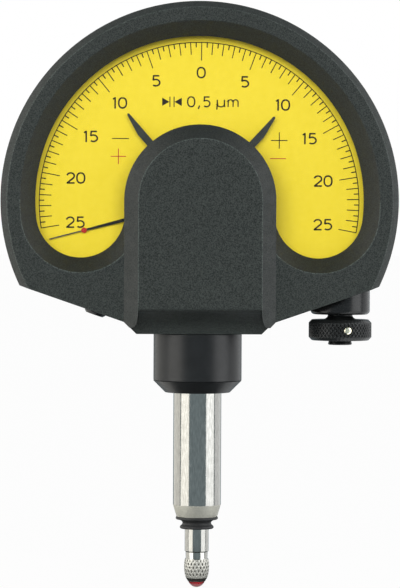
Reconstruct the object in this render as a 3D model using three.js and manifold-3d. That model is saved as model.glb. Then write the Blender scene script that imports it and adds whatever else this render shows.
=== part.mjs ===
import * as THREE from "three";
import { mergeVertices } from "three/addons/utils/BufferGeometryUtils.js";
import Module from "manifold-3d";

const wasm = await Module();
wasm.setup();

// A dial comparator, in millimetres and degrees. The origin is the middle of the stem's clamping
// length, +Z runs up along the stem, the dial faces -Y and +X is to the viewer's right.

// Gaps and overruns
const overrun = 1;
const weldTolerance = 0.0001;
const seatGap = 0.05;
const runGap = 0.1;
const clearGap = 0.3;

// Housing, measured from the pointer's pivot
const housing = {
  radius: 32.6,
  pivotHeight: 21.95,
  frontReach: 11,
  rearReach: 10.5,
  wall: 2,
  edgeBevelWidth: 1.15,
  edgeBevelDepth: 1.7,
  trunkHalfWidth: 12.4,
  cornerCut: 2.1,
  slantAngle: 19,
  floorThickness: 5.6,
  ledgeWidth: 2,
};
const windowOpening = {
  rimWidth: 5.8,
  lobeRadius: 7.2,
  lobeAngle: 6.2,
  bevelDepth: 2.8,
  bevelWidth: 2.45,
  lip: 0.3,
};
const hump = {
  baseRadius: 12.4,
  faceRadius: 10.07,
  rise: 1.6,
  pocketRadius: 9,
  pocketDepth: 3.2,
  postRadius: 2.6,
  undersideHeight: 4.55,
  bandHeight: 1.2,
  bandSetback: 3.8,
  edgeRound: 0.9,
  cheekHalfWidth: 11.1,
};
const cover = { thickness: 1.5, edgeBevel: 0.5, inset: 0.4 };
const coverScrew = {
  edgeDistance: 4,
  upperAngle: 48,
  lowerAngle: 24,
  bossRadius: 2.4,
  bossLength: 8.5,
  radius: 0.9,
  headRadius: 1.7,
  headHeight: 0.9,
  length: 5,
  slotWidth: 0.45,
  slotDepth: 0.4,
};
const pane = { thickness: 0.8, lap: 0.9 };

// Dial, its carrier and the fine adjustment
const dial = { edgeGap: 0.4, thickness: 0.5, holeRadius: 11.6, footDrop: 10.9 };
const carrier = {
  boreRadius: 12.55,
  ringWidth: 2.85,
  thickness: 1.6,
  registerWall: 1.2,
  toothPlateThickness: 1.2,
  toothDepth: 0.5,
  teethPerTurn: 180,
  shownTeeth: 11,
};
const adjuster = {
  edgeDistance: 9.1,
  shaftRadius: 0.9,
  wormRadius: 1.3,
  threadHalfWidth: 0.3,
  wormLength: 3.2,
  shaftAbovePivot: 5.6,
  bearingHeight: 2,
  bearingDrop: 1.2,
  bearingHalfWidth: 1.6,
};
const boss = { radius: 4.9, drop: 0.95, shankRadius: 2.6, edge: 0.6 };
const knob = {
  radius: 5.2,
  height: 3.45,
  chamfer: 0.5,
  neckHeight: 0.85,
  neckRadius: 2.05,
  flareRadius: 2.7,
  flareShare: 0.6,
  endRadius: 2,
  endHeight: 0.75,
  pinRadius: 0.62,
  pinAngle: 10,
  pinLift: 1.72,
  pinCrown: 0.2,
};

// Tolerance markers and their setting arbors
const marker = {
  thickness: 0.25,
  boreClearance: 0.2,
  teeth: 30,
  toothModule: 0.4,
  reachShare: 0.726,
  kinkShare: 0.8,
  baseWidth: 1.2,
  tipWidth: 0.42,
  leftAngle: 131.07,
  rightAngle: 47.1,
  riserWidth: 0.9,
  layerGap: 0.2,
};
const retainer = { radius: 3.4, thickness: 0.2, studRadius: 0.8, studLength: 2 };
const settingArbor = {
  pinionTeeth: 12,
  radius: 0.6,
  headRadius: 1.4,
  headLength: 2,
  slotWidth: 0.5,
  slotDepth: 0.6,
  leftAngle: -56,
  rightAngle: -30,
};

// Stem, spindle and contact
const stem = {
  radius: 4,
  length: 18.7,
  noseLength: 2.05,
  noseRadius: 3.4,
  boreRadius: 2.8,
  shankRadius: 3.6,
  shankLength: 14,
};
const collar = {
  radius: 7.35,
  height: 9.9,
  chamferHeight: 2.1,
  footRadius: 5.4,
  seatDepth: 0.5,
  shankRadius: 5,
  shankLength: 5,
};
const bellows = { height: 1.9, flangeRadius: 3.35, neckRadius: 2.4, lipRadius: 2.72, flangeHeight: 0.35 };
const spindle = {
  radius: 2,
  exposed: 5.85,
  bodyLength: 29,
  neckRadius: 1.1,
  headRadius: 0.7,
  chamfer: 0.2,
  travel: 2.8,
};
const contact = {
  studRadius: 1.25,
  studLength: 3,
  plainRadius: 1.85,
  plainHeight: 1.05,
  knurlRadius: 2.05,
  knurlHeight: 2.75,
  taperHeight: 0.6,
  bandRadius: 1.55,
  bandHeight: 0.6,
  endRadius: 1.36,
  ballRadius: 1.25,
  ballStandout: 0.95,
};
const ballCage = {
  innerRadius: 2.2,
  outerRadius: 2.6,
  length: 15,
  ballRadius: 0.36,
  ballRings: 2,
  ballsPerRing: 5,
};
const guideBush = { length: 2.4 };
const stopRing = { radius: 1.8, thickness: 0.5 };
const driveCollar = { radius: 2.2, thickness: 0.8, tipLength: 0.3 };
const forceSpring = { radius: 1.85, wireRadius: 0.2, turns: 7 };

// Movement: plates, arbors, lever and wheels
const plates = { baseThickness: 1.4, bridgeThickness: 1.3, bridgeFront: 6, edgeGap: 0.3, cornerRadius: 1.9 };
const headWindow = { halfWidth: 3, topDrop: 7.9 };
const pillar = {
  radius: 1.3,
  screwRadius: 0.55,
  screwHeadRadius: 1.2,
  screwHeadHeight: 0.7,
  screwLength: 3.4,
  leftReach: 10.06,
  leftAngle: 162.6,
  wheelGap: 1.77,
  upperAngle: 84.7,
  lowerAngle: -67.2,
};
const baseScrew = {
  radius: 0.6,
  headRadius: 1,
  headHeight: 0.7,
  length: 4,
  firstAngle: 30,
  secondAngle: 150,
};
const jewel = { radius: 0.8, holeRadius: 0.25, thickness: 0.5, pinRadius: 0.35, pinHeight: 0.5 };
const arbor = { radius: 0.45, pivotRadius: 0.2 };
const gear = {
  toothModule: 0.12,
  addendumShare: 0.8,
  dedendumShare: 1.25,
  leafRootShare: 0.2,
  leafTipShare: 0.05,
};
const lever = {
  axisRise: 4.25,
  shortArm: 3,
  jewelReach: 1.5,
  hubRadius: 1.3,
  armHalfHeight: 0.3,
  thickness: 0.7,
  sectorThickness: 0.5,
  sectorRim: 1.2,
  sectorHubRadius: 1.6,
  spokeWidth: 0.8,
  teethPerTurn: 180,
  shownTeeth: 9,
};
const wheel = {
  teeth: 140,
  pinionLeaves: 12,
  thickness: 0.5,
  rimWidth: 1.1,
  hubRadius: 1.6,
  spokes: 4,
  spokeWidth: 0.9,
  frontY: 3,
};
const pointerArbor = { leaves: 10, pinionLength: 1.1 };
const pointer = {
  tipGap: 1.2,
  beadRadius: 0.48,
  beadShare: 0.765,
  armWidth: 0.9,
  armTipWidth: 0.34,
  needleWidth: 0.2,
  tail: 4.2,
  tailRadius: 1.5,
  thickness: 0.25,
  restAngle: 194.6,
  hubRadius: 1.2,
  hubLength: 1.2,
};
const hairspring = { innerRadius: 0.95, pitch: 0.6, turns: 4, wire: 0.12, height: 0.4, frontY: 4.3 };
const collet = { radius: 0.75, height: 0.8 };
const stud = { radius: 0.4 };
const releasePlug = {
  trunkDistance: 4.6,
  radius: 1.8,
  standout: 0.75,
  chamfer: 0.35,
  shankRadius: 1.3,
  shankLength: 1.7,
};

// Steps of round work
const houseSteps = 60;
const stemSteps = 30;
const turnSteps = 18;
const smallSteps = 8;
const springSteps = 8;
const wireSides = 4;
const threadSides = 3;
const ballSteps = 16;
const hairSteps = 10;
const ballDetail = 0;
const curveSteps = 6;

// Places along the stem
const stemTop = stem.length / 2;
const stemTubeTop = stemTop + stem.shankLength;
const housingBottom = stemTop + collar.height;
const pivotZ = housingBottom + housing.pivotHeight;
const noseEnd = -stemTop - stem.noseLength;
const spindleEnd = noseEnd - spindle.exposed;
const spindleShoulder = spindleEnd + spindle.bodyLength;
const leverZ = stemTubeTop + lever.axisRise;
const leverX = lever.jewelReach + lever.shortArm;
const jewelTop = leverZ + lever.armHalfHeight + seatGap + jewel.pinHeight;
const driveCollarBottom = jewelTop + runGap;
const headTop = driveCollarBottom + driveCollar.thickness + driveCollar.tipLength;

// Places across the housing
const windowRadius = housing.radius - windowOpening.rimWidth;
const innerRadius = housing.radius - housing.wall;
const ledgeRadius = innerRadius - housing.ledgeWidth;
const dialRadius = ledgeRadius - dial.edgeGap;
const screwRingRadius = housing.radius - coverScrew.edgeDistance;
const adjusterX = housing.radius - adjuster.edgeDistance;
const carrierRadius = carrier.boreRadius + carrier.ringWidth;
const plugX = -housing.trunkHalfWidth - releasePlug.trunkDistance;
const pointerLength = windowRadius - pointer.tipGap;
const beadPlace = pointerLength * pointer.beadShare;
const markerTipRadius = pointerLength * marker.reachShare;
const markerKinkRadius = markerTipRadius * marker.kinkShare;

// Layers from front to back
const frontPlane = -housing.frontReach;
const humpFace = frontPlane - hump.rise;
const windowEdge = frontPlane + windowOpening.bevelDepth;
const paneFront = windowEdge + windowOpening.lip;
const paneRear = paneFront + pane.thickness;
const rightHubFront = paneRear - marker.thickness;
const markerFront = paneRear + marker.layerGap;
const markerRear = markerFront + marker.thickness;
const retainerFront = markerRear + runGap;
const pointerFront = retainerFront + retainer.thickness + marker.layerGap;
const pointerRear = pointerFront + pointer.thickness;
const dialFront = pointerRear + clearGap;
const dialRear = dialFront + dial.thickness;
const adjusterY = dialRear + carrier.thickness;
const baseFront = adjusterY + carrier.toothPlateThickness / 2 + clearGap;
const baseRear = baseFront + plates.baseThickness;
const bridgeRear = plates.bridgeFront + plates.bridgeThickness;
const coverFront = housing.rearReach;
const coverRear = coverFront + cover.thickness;

// Places of the arbors, seen from the front with the pivot as the centre
const leverPlace = new THREE.Vector2(leverX, leverZ - pivotZ);
const wheelPitchRadius = gear.toothModule * wheel.teeth / 2;
const leafPitchRadius = gear.toothModule * pointerArbor.leaves / 2;
const pinionPitchRadius = gear.toothModule * wheel.pinionLeaves / 2;
const sectorPitchRadius = gear.toothModule * lever.teethPerTurn / 2;
const pivotPlace = new THREE.Vector2(0, 0);
const leverReach = sectorPitchRadius + pinionPitchRadius;
const wheelReach = wheelPitchRadius + leafPitchRadius;
const wheelPlace = crossing(leverPlace, leverReach, pivotPlace, wheelReach);
const markerReach = marker.toothModule * (marker.teeth + settingArbor.pinionTeeth) / 2;
const pillarReach = wheelPitchRadius + pillar.radius + pillar.wheelGap;
const pillarPlaces = [
  polar(pillar.leftReach, pillar.leftAngle),
  polar(pillarReach, pillar.upperAngle).add(wheelPlace),
  polar(pillarReach, pillar.lowerAngle).add(wheelPlace),
];

function radians(degrees) {
  return THREE.MathUtils.degToRad(degrees);
}

function bearing(from, to) {
  return THREE.MathUtils.radToDeg(Math.atan2(to.y - from.y, to.x - from.x));
}

function polar(radius, degrees) {
  return new THREE.Vector2(radius * Math.cos(radians(degrees)), radius * Math.sin(radians(degrees)));
}

// The right-hand point that lies at two given distances from two centres.
function crossing(first, firstDistance, second, secondDistance) {
  const span = first.distanceTo(second);
  const along = (firstDistance ** 2 - secondDistance ** 2 + span ** 2) / (2 * span);
  const across = Math.sqrt(firstDistance ** 2 - along ** 2);
  const direction = second.clone().sub(first).divideScalar(span);
  const side = new THREE.Vector2(direction.y, -direction.x);
  return first.clone().addScaledVector(direction, along).addScaledVector(side, across);
}

// A closed geometry as a solid that can be joined and cut.
function solid(geometry) {
  const bare = geometry.clone();
  bare.deleteAttribute("normal");
  bare.deleteAttribute("uv");
  const merged = mergeVertices(bare, weldTolerance);
  const index = merged.index.array;
  const triangles = [];
  for (let i = 0; i < index.length; i += 3) {
    const [a, b, c] = [index[i], index[i + 1], index[i + 2]];
    if (a !== b && b !== c && c !== a) triangles.push(a, b, c);
  }
  const vertProperties = new Float32Array(merged.attributes.position.array);
  const triVerts = new Uint32Array(triangles);
  return new wasm.Manifold(new wasm.Mesh({ numProp: 3, vertProperties, triVerts }));
}

function geometryOf(body) {
  const mesh = body.getMesh();
  const geometry = new THREE.BufferGeometry();
  geometry.setAttribute("position", new THREE.BufferAttribute(mesh.vertProperties, 3));
  geometry.setIndex(new THREE.BufferAttribute(mesh.triVerts, 1));
  geometry.computeVertexNormals();
  return geometry;
}

// A shape pushed along an axis, laid out by the directions of its two sides and of the push.
function pushed(shape, length, sideways, upward, along) {
  const geometry = new THREE.ExtrudeGeometry(shape, {
    depth: length,
    bevelEnabled: false,
    curveSegments: curveSteps,
  });
  geometry.applyMatrix4(new THREE.Matrix4().makeBasis(sideways, upward, along));
  return solid(geometry);
}

const axisX = new THREE.Vector3(1, 0, 0);
const axisY = new THREE.Vector3(0, 1, 0);
const axisZ = new THREE.Vector3(0, 0, 1);
const towardViewer = new THREE.Vector3(0, -1, 0);

// A flat piece seen from the front, between two depths.
function plate(shape, rear, front) {
  return pushed(shape, rear - front, axisX, axisZ, towardViewer).translate([0, rear, 0]);
}

// A bar with its section in the plan view, between two heights.
function upright(shape, bottom, top) {
  return pushed(shape, top - bottom, axisX, axisY, axisZ).translate([0, 0, bottom]);
}

// A bar with its section in the side view, between two places across.
function crossbar(shape, left, right) {
  return pushed(shape, right - left, axisY, axisZ, axisX).translate([left, 0, 0]);
}

// A body turned about the Z axis from pairs of radius and height, listed upward.
function turnedZ(profile, steps = turnSteps) {
  const points = profile.map(([radius, height]) => new THREE.Vector2(radius, height));
  const geometry = new THREE.LatheGeometry(points, steps);
  geometry.rotateX(Math.PI / 2);
  return solid(geometry);
}

// A body turned about the Y axis from pairs of radius and depth, listed from front to rear.
function turnedY(profile, steps = turnSteps) {
  const points = profile.map(([radius, depth]) => new THREE.Vector2(radius, depth));
  return solid(new THREE.LatheGeometry(points, steps));
}

function rodZ(radius, bottom, top, steps) {
  return turnedZ([[0, bottom], [radius, bottom], [radius, top], [0, top]], steps);
}

function tubeZ(innerRadius, outerRadius, bottom, top, steps) {
  return turnedZ([
    [innerRadius, bottom],
    [outerRadius, bottom],
    [outerRadius, top],
    [innerRadius, top],
    [innerRadius, bottom],
  ], steps);
}

function rodY(radius, front, rear, steps) {
  return turnedY([[0, front], [radius, front], [radius, rear], [0, rear]], steps);
}

function ringY(innerRadius, outerRadius, front, rear, steps) {
  return rodY(outerRadius, front, rear, steps).subtract(
    rodY(innerRadius, front - overrun, rear + overrun, steps),
  );
}

function rectangle(left, right, bottom, top) {
  return new THREE.Shape([
    new THREE.Vector2(left, bottom),
    new THREE.Vector2(right, bottom),
    new THREE.Vector2(right, top),
    new THREE.Vector2(left, top),
  ]);
}

function rotatedY(body, degrees) {
  return body.rotate([0, -degrees, 0]);
}

// The height of the slanted underside, moved inward, at a distance from the middle.
function slantHeight(x, inset) {
  const shoulder = housing.cornerCut - housing.pivotHeight;
  const slope = Math.tan(radians(housing.slantAngle));
  const lift = inset / Math.cos(radians(housing.slantAngle));
  return shoulder + lift + slope * (x - housing.trunkHalfWidth);
}

// Everything above the housing's underside: the slants, the cut corners and the flat bottom.
function aboveUnderside(inset, rear, front) {
  const far = housing.radius + overrun;
  const bottom = inset - housing.pivotHeight;
  const shoulderX = housing.trunkHalfWidth - inset;
  const right = [
    new THREE.Vector2(shoulderX - housing.cornerCut, bottom),
    new THREE.Vector2(shoulderX, bottom + housing.cornerCut),
    new THREE.Vector2(housing.trunkHalfWidth, slantHeight(housing.trunkHalfWidth, inset)),
    new THREE.Vector2(far, slantHeight(far, inset)),
    new THREE.Vector2(far, far),
  ];
  const left = right.map((point) => new THREE.Vector2(-point.x, point.y)).reverse();
  return plate(new THREE.Shape([...right, ...left]), rear, front);
}

// The room inside the slants and above the trunk's solid floor.
function aboveFloor(inset, floorLift, rear, front) {
  const far = housing.radius + overrun;
  const floor = housing.floorThickness + floorLift - housing.pivotHeight;
  const slope = Math.tan(radians(housing.slantAngle));
  const floorX = housing.trunkHalfWidth + (floor - slantHeight(housing.trunkHalfWidth, inset)) / slope;
  const right = [
    new THREE.Vector2(floorX, floor),
    new THREE.Vector2(far, slantHeight(far, inset)),
    new THREE.Vector2(far, far),
  ];
  const left = right.map((point) => new THREE.Vector2(-point.x, point.y)).reverse();
  return plate(new THREE.Shape([...right, ...left]), rear, front);
}

// The hump's plan, a round head on a straight trunk, between two depths.
function humpPrism(radius, rear, front) {
  const trunk = plate(rectangle(-radius, radius, -housing.pivotHeight - overrun, 0), rear, front);
  return rodY(radius, front, rear, houseSteps).add(trunk);
}

function humpTaper() {
  const section = new THREE.Shape([
    new THREE.Vector2(-hump.baseRadius, frontPlane),
    new THREE.Vector2(-hump.faceRadius, humpFace),
    new THREE.Vector2(hump.faceRadius, humpFace),
    new THREE.Vector2(hump.baseRadius, frontPlane),
    new THREE.Vector2(hump.baseRadius, paneFront),
    new THREE.Vector2(-hump.baseRadius, paneFront),
  ]);
  const head = turnedY([
    [0, humpFace],
    [hump.faceRadius, humpFace],
    [hump.baseRadius, frontPlane],
    [hump.baseRadius, paneFront],
    [0, paneFront],
  ], houseSteps);
  return upright(section, -housing.pivotHeight, 0).add(head);
}

// The recess under the hump's face, between two cheeks that end on the set back band at the foot.
function humpUnderside() {
  const foot = -housing.pivotHeight;
  const band = foot + hump.bandHeight;
  const top = foot + hump.undersideHeight;
  const bandDepth = humpFace + hump.rise + hump.bandSetback;
  const side = hump.baseRadius + overrun;
  const depths = new THREE.Shape();
  depths.moveTo(humpFace - overrun, top);
  depths.lineTo(humpFace, top);
  depths.quadraticCurveTo(humpFace, top - hump.edgeRound, humpFace + hump.edgeRound, top - hump.edgeRound);
  depths.lineTo(bandDepth, band);
  depths.lineTo(bandDepth, foot - overrun);
  depths.lineTo(humpFace - overrun, foot - overrun);
  const front = new THREE.Shape();
  front.moveTo(-hump.faceRadius, top);
  front.quadraticCurveTo(-hump.faceRadius, band, -hump.cheekHalfWidth, band);
  front.lineTo(-side, band);
  front.lineTo(-side, foot - overrun);
  front.lineTo(side, foot - overrun);
  front.lineTo(side, band);
  front.lineTo(hump.cheekHalfWidth, band);
  front.quadraticCurveTo(hump.faceRadius, band, hump.faceRadius, top);
  return crossbar(depths, -housing.radius, housing.radius).intersect(
    plate(front, bandDepth + overrun, humpFace - overrun),
  );
}

const lobeReach = windowRadius - windowOpening.lobeRadius;
const lobeX = lobeReach * Math.cos(radians(windowOpening.lobeAngle));
const lobeZ = -lobeReach * Math.sin(radians(windowOpening.lobeAngle));

// The window's plan, a large arc that ends in two round lobes, through pairs of growth and depth.
function windowForm(profile) {
  const far = housing.radius + overrun;
  const front = profile[0][1];
  const rear = profile[profile.length - 1][1];
  const turned = (radius) => [
    [0, front],
    ...profile.map(([grow, depth]) => [radius + grow, depth]),
    [0, rear],
  ];
  const arc = turnedY(turned(windowRadius), houseSteps);
  const lobe = turnedY(turned(windowOpening.lobeRadius), houseSteps / 2);
  const upper = plate(rectangle(-far, far, lobeZ, far), rear, front);
  return arc.intersect(upper).add(lobe.translate([lobeX, 0, lobeZ])).add(lobe.translate([-lobeX, 0, lobeZ]));
}

function windowCut() {
  const hold = humpPrism(hump.baseRadius, paneFront + 2 * overrun, frontPlane - 2 * overrun);
  return windowForm([
    [windowOpening.bevelWidth, frontPlane - overrun],
    [windowOpening.bevelWidth, frontPlane],
    [0, windowEdge],
    [0, paneFront + overrun],
  ]).subtract(hold);
}

function coverScrewPlaces() {
  const upper = [coverScrew.upperAngle, 180 - coverScrew.upperAngle];
  const lower = [180 + coverScrew.lowerAngle, -coverScrew.lowerAngle];
  return [...upper, ...lower].map((angle) => polar(screwRingRadius, angle));
}

function baseScrewPlaces() {
  const ring = innerRadius - housing.ledgeWidth / 2;
  return [baseScrew.firstAngle, baseScrew.secondAngle].map((angle) => polar(ring, angle));
}

function frontHousing() {
  const shell = turnedY([
    [0, frontPlane],
    [housing.radius - housing.edgeBevelWidth, frontPlane],
    [housing.radius, frontPlane + housing.edgeBevelDepth],
    [housing.radius, coverFront],
    [0, coverFront],
  ], houseSteps);
  const outline = aboveUnderside(0, coverFront + overrun, humpFace - overrun);
  const dialRoom = rodY(ledgeRadius, paneFront, baseFront + overrun, houseSteps).intersect(
    aboveFloor(housing.wall, 0, baseFront + overrun, paneFront),
  );
  const movementRoom = rodY(innerRadius, baseFront, coverFront + overrun, houseSteps).intersect(
    aboveFloor(housing.wall, 0, coverFront + overrun, baseFront),
  );
  const pocketFront = paneFront - hump.pocketDepth;
  const pocket = ringY(hump.postRadius, hump.pocketRadius, pocketFront, paneFront + overrun);
  const studHoleFront = paneFront - retainer.studLength;
  const studHole = rodY(retainer.studRadius + seatGap, studHoleFront, retainerFront + overrun, smallSteps);
  const post = rodY(hump.postRadius, paneFront - overrun, retainerFront - seatGap);
  const collarBore = rodZ(
    collar.shankRadius + seatGap,
    -housing.pivotHeight - overrun,
    housing.floorThickness - housing.pivotHeight + overrun,
    stemSteps,
  );
  let body = shell.add(humpTaper()).intersect(outline).subtract(humpUnderside()).subtract(windowCut());
  body = body.subtract(dialRoom).subtract(movementRoom).subtract(pocket).add(post).subtract(studHole);
  body = body.subtract(collarBore).subtract(adjusterHole()).subtract(plugHole());
  const threadFront = coverFront - coverScrew.length;
  const column = rodY(coverScrew.bossRadius, coverFront - coverScrew.bossLength, coverFront, turnSteps);
  const thread = rodY(coverScrew.radius + seatGap, threadFront, coverFront + overrun, smallSteps);
  const inside = rodY(housing.radius - housing.wall / 2, frontPlane, coverFront, houseSteps);
  for (const place of coverScrewPlaces()) {
    body = body.add(at(column, place).intersect(inside)).subtract(at(thread, place));
  }
  const baseThreadFront = baseRear - baseScrew.length;
  const baseThread = rodY(baseScrew.radius + seatGap, baseThreadFront, baseFront + overrun, smallSteps);
  for (const place of baseScrewPlaces()) body = body.subtract(at(baseThread, place));
  return body;
}

function adjusterHole() {
  const bottom = -housing.pivotHeight;
  return rodZ(boss.shankRadius + seatGap, bottom, 0).translate([adjusterX, adjusterY, 0]);
}

function plugHole() {
  const hole = rodZ(releasePlug.shankRadius + runGap, -overrun, releasePlug.shankLength + runGap);
  return hole.rotate([0, housing.slantAngle, 0]).translate([plugX, 0, slantHeight(-plugX, 0)]);
}

function rearCover() {
  const outer = housing.radius - cover.inset;
  const disc = turnedY([
    [0, coverFront + seatGap],
    [outer, coverFront + seatGap],
    [outer, coverRear - cover.edgeBevel],
    [outer - cover.edgeBevel, coverRear],
    [0, coverRear],
  ], houseSteps).intersect(aboveUnderside(cover.inset, coverRear + overrun, coverFront - overrun));
  let body = disc;
  for (const place of coverScrewPlaces()) {
    const shaft = rodY(coverScrew.radius + seatGap, coverFront - overrun, coverRear + overrun, smallSteps);
    const sink = rodY(
      coverScrew.headRadius + seatGap,
      coverRear - coverScrew.headHeight - seatGap,
      coverRear + overrun,
      turnSteps,
    );
    body = body.subtract(at(shaft.add(sink), place));
  }
  for (const place of [settingArbor.leftAngle, settingArbor.rightAngle].map(settingPlace)) {
    const opening = rodY(
      settingArbor.headRadius + runGap,
      coverFront - overrun,
      coverRear + overrun,
      turnSteps,
    );
    body = body.subtract(at(opening, place));
  }
  return body;
}

function slottedScrew(screw, seatDepth) {
  const head = rodY(screw.headRadius, seatDepth + seatGap, seatDepth + screw.headHeight, turnSteps);
  const tip = seatDepth - screw.length + screw.headHeight + seatGap;
  return head.add(rodY(screw.radius, tip, seatDepth + screw.headHeight / 2, smallSteps));
}

function coverScrewBody() {
  const slotHalf = coverScrew.slotWidth / 2;
  const slot = plate(
    rectangle(-coverScrew.headRadius, coverScrew.headRadius, -slotHalf, slotHalf),
    coverRear + overrun,
    coverRear - coverScrew.slotDepth,
  );
  return slottedScrew(coverScrew, coverRear - coverScrew.headHeight).subtract(slot);
}

function windowPane() {
  const body = windowForm([[pane.lap, paneFront], [pane.lap, paneRear]]);
  return body.subtract(humpPrism(hump.baseRadius - pane.lap, paneRear + overrun, paneFront - overrun));
}

function dialPlate() {
  const far = dialRadius + overrun;
  const disc = rodY(dialRadius, dialFront, dialRear, houseSteps);
  const upper = plate(rectangle(-far, far, -dial.footDrop, far), dialRear + overrun, dialFront - overrun);
  return disc.intersect(upper).subtract(humpPrism(dial.holeRadius, dialRear + overrun, dialFront - overrun));
}

// An outline with pointed teeth over part or all of a turn, centred on a bearing.
function pointedTeeth(count, teethPerTurn, rootRadius, tipRadius, centre) {
  const step = 360 / teethPerTurn;
  const first = centre - Math.floor(count / 2) * step;
  const points = [];
  for (let i = 0; i < count; i += 1) {
    points.push(polar(rootRadius, first + (i - 0.5) * step));
    points.push(polar(tipRadius, first + i * step));
  }
  if (count < teethPerTurn) points.push(polar(rootRadius, first + (count - 0.5) * step));
  return points;
}

// A ring of narrow flat-topped leaves, one of them centred on a bearing.
function leafOutline(leaves, rootRadius, tipRadius, centre) {
  const step = 360 / leaves;
  const points = [];
  for (let i = 0; i < leaves; i += 1) {
    const middle = centre + i * step;
    points.push(polar(rootRadius, middle - gear.leafRootShare * step));
    points.push(polar(tipRadius, middle - gear.leafTipShare * step));
    points.push(polar(tipRadius, middle + gear.leafTipShare * step));
    points.push(polar(rootRadius, middle + gear.leafRootShare * step));
  }
  return points;
}

function dialCarrier() {
  const root = adjusterX - adjuster.wormRadius - runGap - carrier.toothDepth;
  const teeth = pointedTeeth(carrier.shownTeeth, carrier.teethPerTurn, root, root + carrier.toothDepth, 0);
  const innerEnd = (carrier.boreRadius + carrierRadius) / 2;
  const halfSpread = carrier.shownTeeth * 180 / carrier.teethPerTurn;
  const arm = new THREE.Shape([...teeth, polar(innerEnd, halfSpread), polar(innerEnd, -halfSpread)]);
  const ring = ringY(carrier.boreRadius, carrierRadius, dialRear + seatGap, adjusterY, houseSteps);
  const rear = adjusterY + carrier.toothPlateThickness / 2;
  return ring.add(plate(arm, rear, rear - carrier.toothPlateThickness));
}

// A bar with parallel sides that narrows from a kink to a rounded tip, along a bearing.
function markerArm(angle, innerRadius, side) {
  const half = marker.baseWidth / 2;
  const tipHalf = marker.tipWidth / 2;
  const straight = half * side;
  const outline = [
    new THREE.Vector2(innerRadius, straight),
    new THREE.Vector2(innerRadius, -straight),
    new THREE.Vector2(markerKinkRadius, -straight),
    new THREE.Vector2(markerTipRadius - tipHalf, straight - 2 * tipHalf * side),
    new THREE.Vector2(markerTipRadius, straight - tipHalf * side),
    new THREE.Vector2(markerTipRadius - tipHalf, straight),
  ];
  const points = side > 0 ? outline.reverse() : outline;
  points.forEach((point) => point.rotateAround(pivotPlace, radians(angle)));
  return plate(new THREE.Shape(points), markerRear, markerFront);
}

const markerPitchRadius = marker.toothModule * marker.teeth / 2;
const markerAddendum = marker.toothModule * gear.addendumShare;
const markerDedendum = marker.toothModule * gear.dedendumShare;

function markerHub(frontDepth, centre) {
  const rim = pointedTeeth(
    marker.teeth,
    marker.teeth,
    markerPitchRadius - markerDedendum,
    markerPitchRadius + markerAddendum,
    centre,
  );
  const bore = rodY(hump.postRadius + marker.boreClearance, frontDepth - overrun, frontDepth + overrun);
  return plate(new THREE.Shape(rim), frontDepth + marker.thickness, frontDepth).subtract(bore);
}

function markerLeft() {
  return markerHub(markerFront, settingArbor.leftAngle - 90).add(
    markerArm(marker.leftAngle, markerPitchRadius - marker.toothModule * 2, -1),
  );
}

function markerRight() {
  const riserInner = markerPitchRadius + markerAddendum + marker.layerGap;
  const riserShape = rectangle(
    markerPitchRadius - marker.toothModule * 2,
    riserInner + marker.riserWidth,
    -marker.baseWidth / 2,
    marker.baseWidth / 2,
  );
  const foot = plate(riserShape, rightHubFront + marker.thickness, rightHubFront);
  const riser = plate(
    rectangle(riserInner, riserInner + marker.riserWidth, -marker.baseWidth / 2, marker.baseWidth / 2),
    markerRear,
    rightHubFront,
  );
  const link = rotatedY(foot.add(riser), marker.rightAngle);
  return markerHub(rightHubFront, settingArbor.rightAngle - 90).add(link).add(
    markerArm(marker.rightAngle, riserInner + marker.riserWidth / 2, 1),
  );
}

function markerRetainer() {
  const disc = rodY(retainer.radius, retainerFront, retainerFront + retainer.thickness);
  const studFront = paneFront - retainer.studLength + clearGap;
  return disc.add(rodY(retainer.studRadius, studFront, retainerFront + retainer.thickness / 2, smallSteps));
}

// A setting arbor's place, by its bearing from straight down as the viewer sees it.
function settingPlace(degreesFromDown) {
  return polar(markerReach, degreesFromDown - 90);
}

function settingArborBody(place, layerFront) {
  const pitch = marker.toothModule * settingArbor.pinionTeeth / 2;
  const half = 180 / settingArbor.pinionTeeth;
  const leaves = leafOutline(
    settingArbor.pinionTeeth,
    pitch - markerDedendum,
    pitch + markerAddendum,
    place + 90 + half,
  );
  const pinion = plate(new THREE.Shape(leaves), layerFront + marker.thickness, layerFront);
  const shaft = rodY(settingArbor.radius, layerFront, coverRear - settingArbor.headLength / 2, smallSteps);
  const head = rodY(settingArbor.headRadius, coverRear - settingArbor.headLength, coverRear - runGap);
  const slot = plate(
    rectangle(
      -settingArbor.headRadius,
      settingArbor.headRadius,
      -settingArbor.slotWidth / 2,
      settingArbor.slotWidth / 2,
    ),
    coverRear + overrun,
    coverRear - settingArbor.slotDepth,
  );
  return pinion.add(shaft).add(head).subtract(slot);
}

class Helix extends THREE.Curve {
  constructor(radius, bottom, top, turns) {
    super();
    Object.assign(this, { radius, bottom, top, turns });
  }

  getPoint(t, target = new THREE.Vector3()) {
    const angle = 2 * Math.PI * this.turns * t;
    const height = this.bottom + (this.top - this.bottom) * t;
    return target.set(this.radius * Math.cos(angle), this.radius * Math.sin(angle), height);
  }
}

function wound(helix, wireRadius, sides) {
  const section = new THREE.Shape();
  for (let i = 0; i < sides; i += 1) {
    const corner = polar(wireRadius, i * 360 / sides);
    if (i === 0) section.moveTo(corner.x, corner.y);
    else section.lineTo(corner.x, corner.y);
  }
  return solid(new THREE.ExtrudeGeometry(section, {
    steps: Math.round(helix.turns * springSteps),
    extrudePath: helix,
    bevelEnabled: false,
  }));
}

// Bottoms and tops along the adjusting knob's axis, from the pivot's height
const bossBottom = slantHeight(adjusterX - boss.radius, 0) - boss.drop;
const knobTop = bossBottom - knob.neckHeight;
const knobBottom = knobTop - knob.height;

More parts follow.
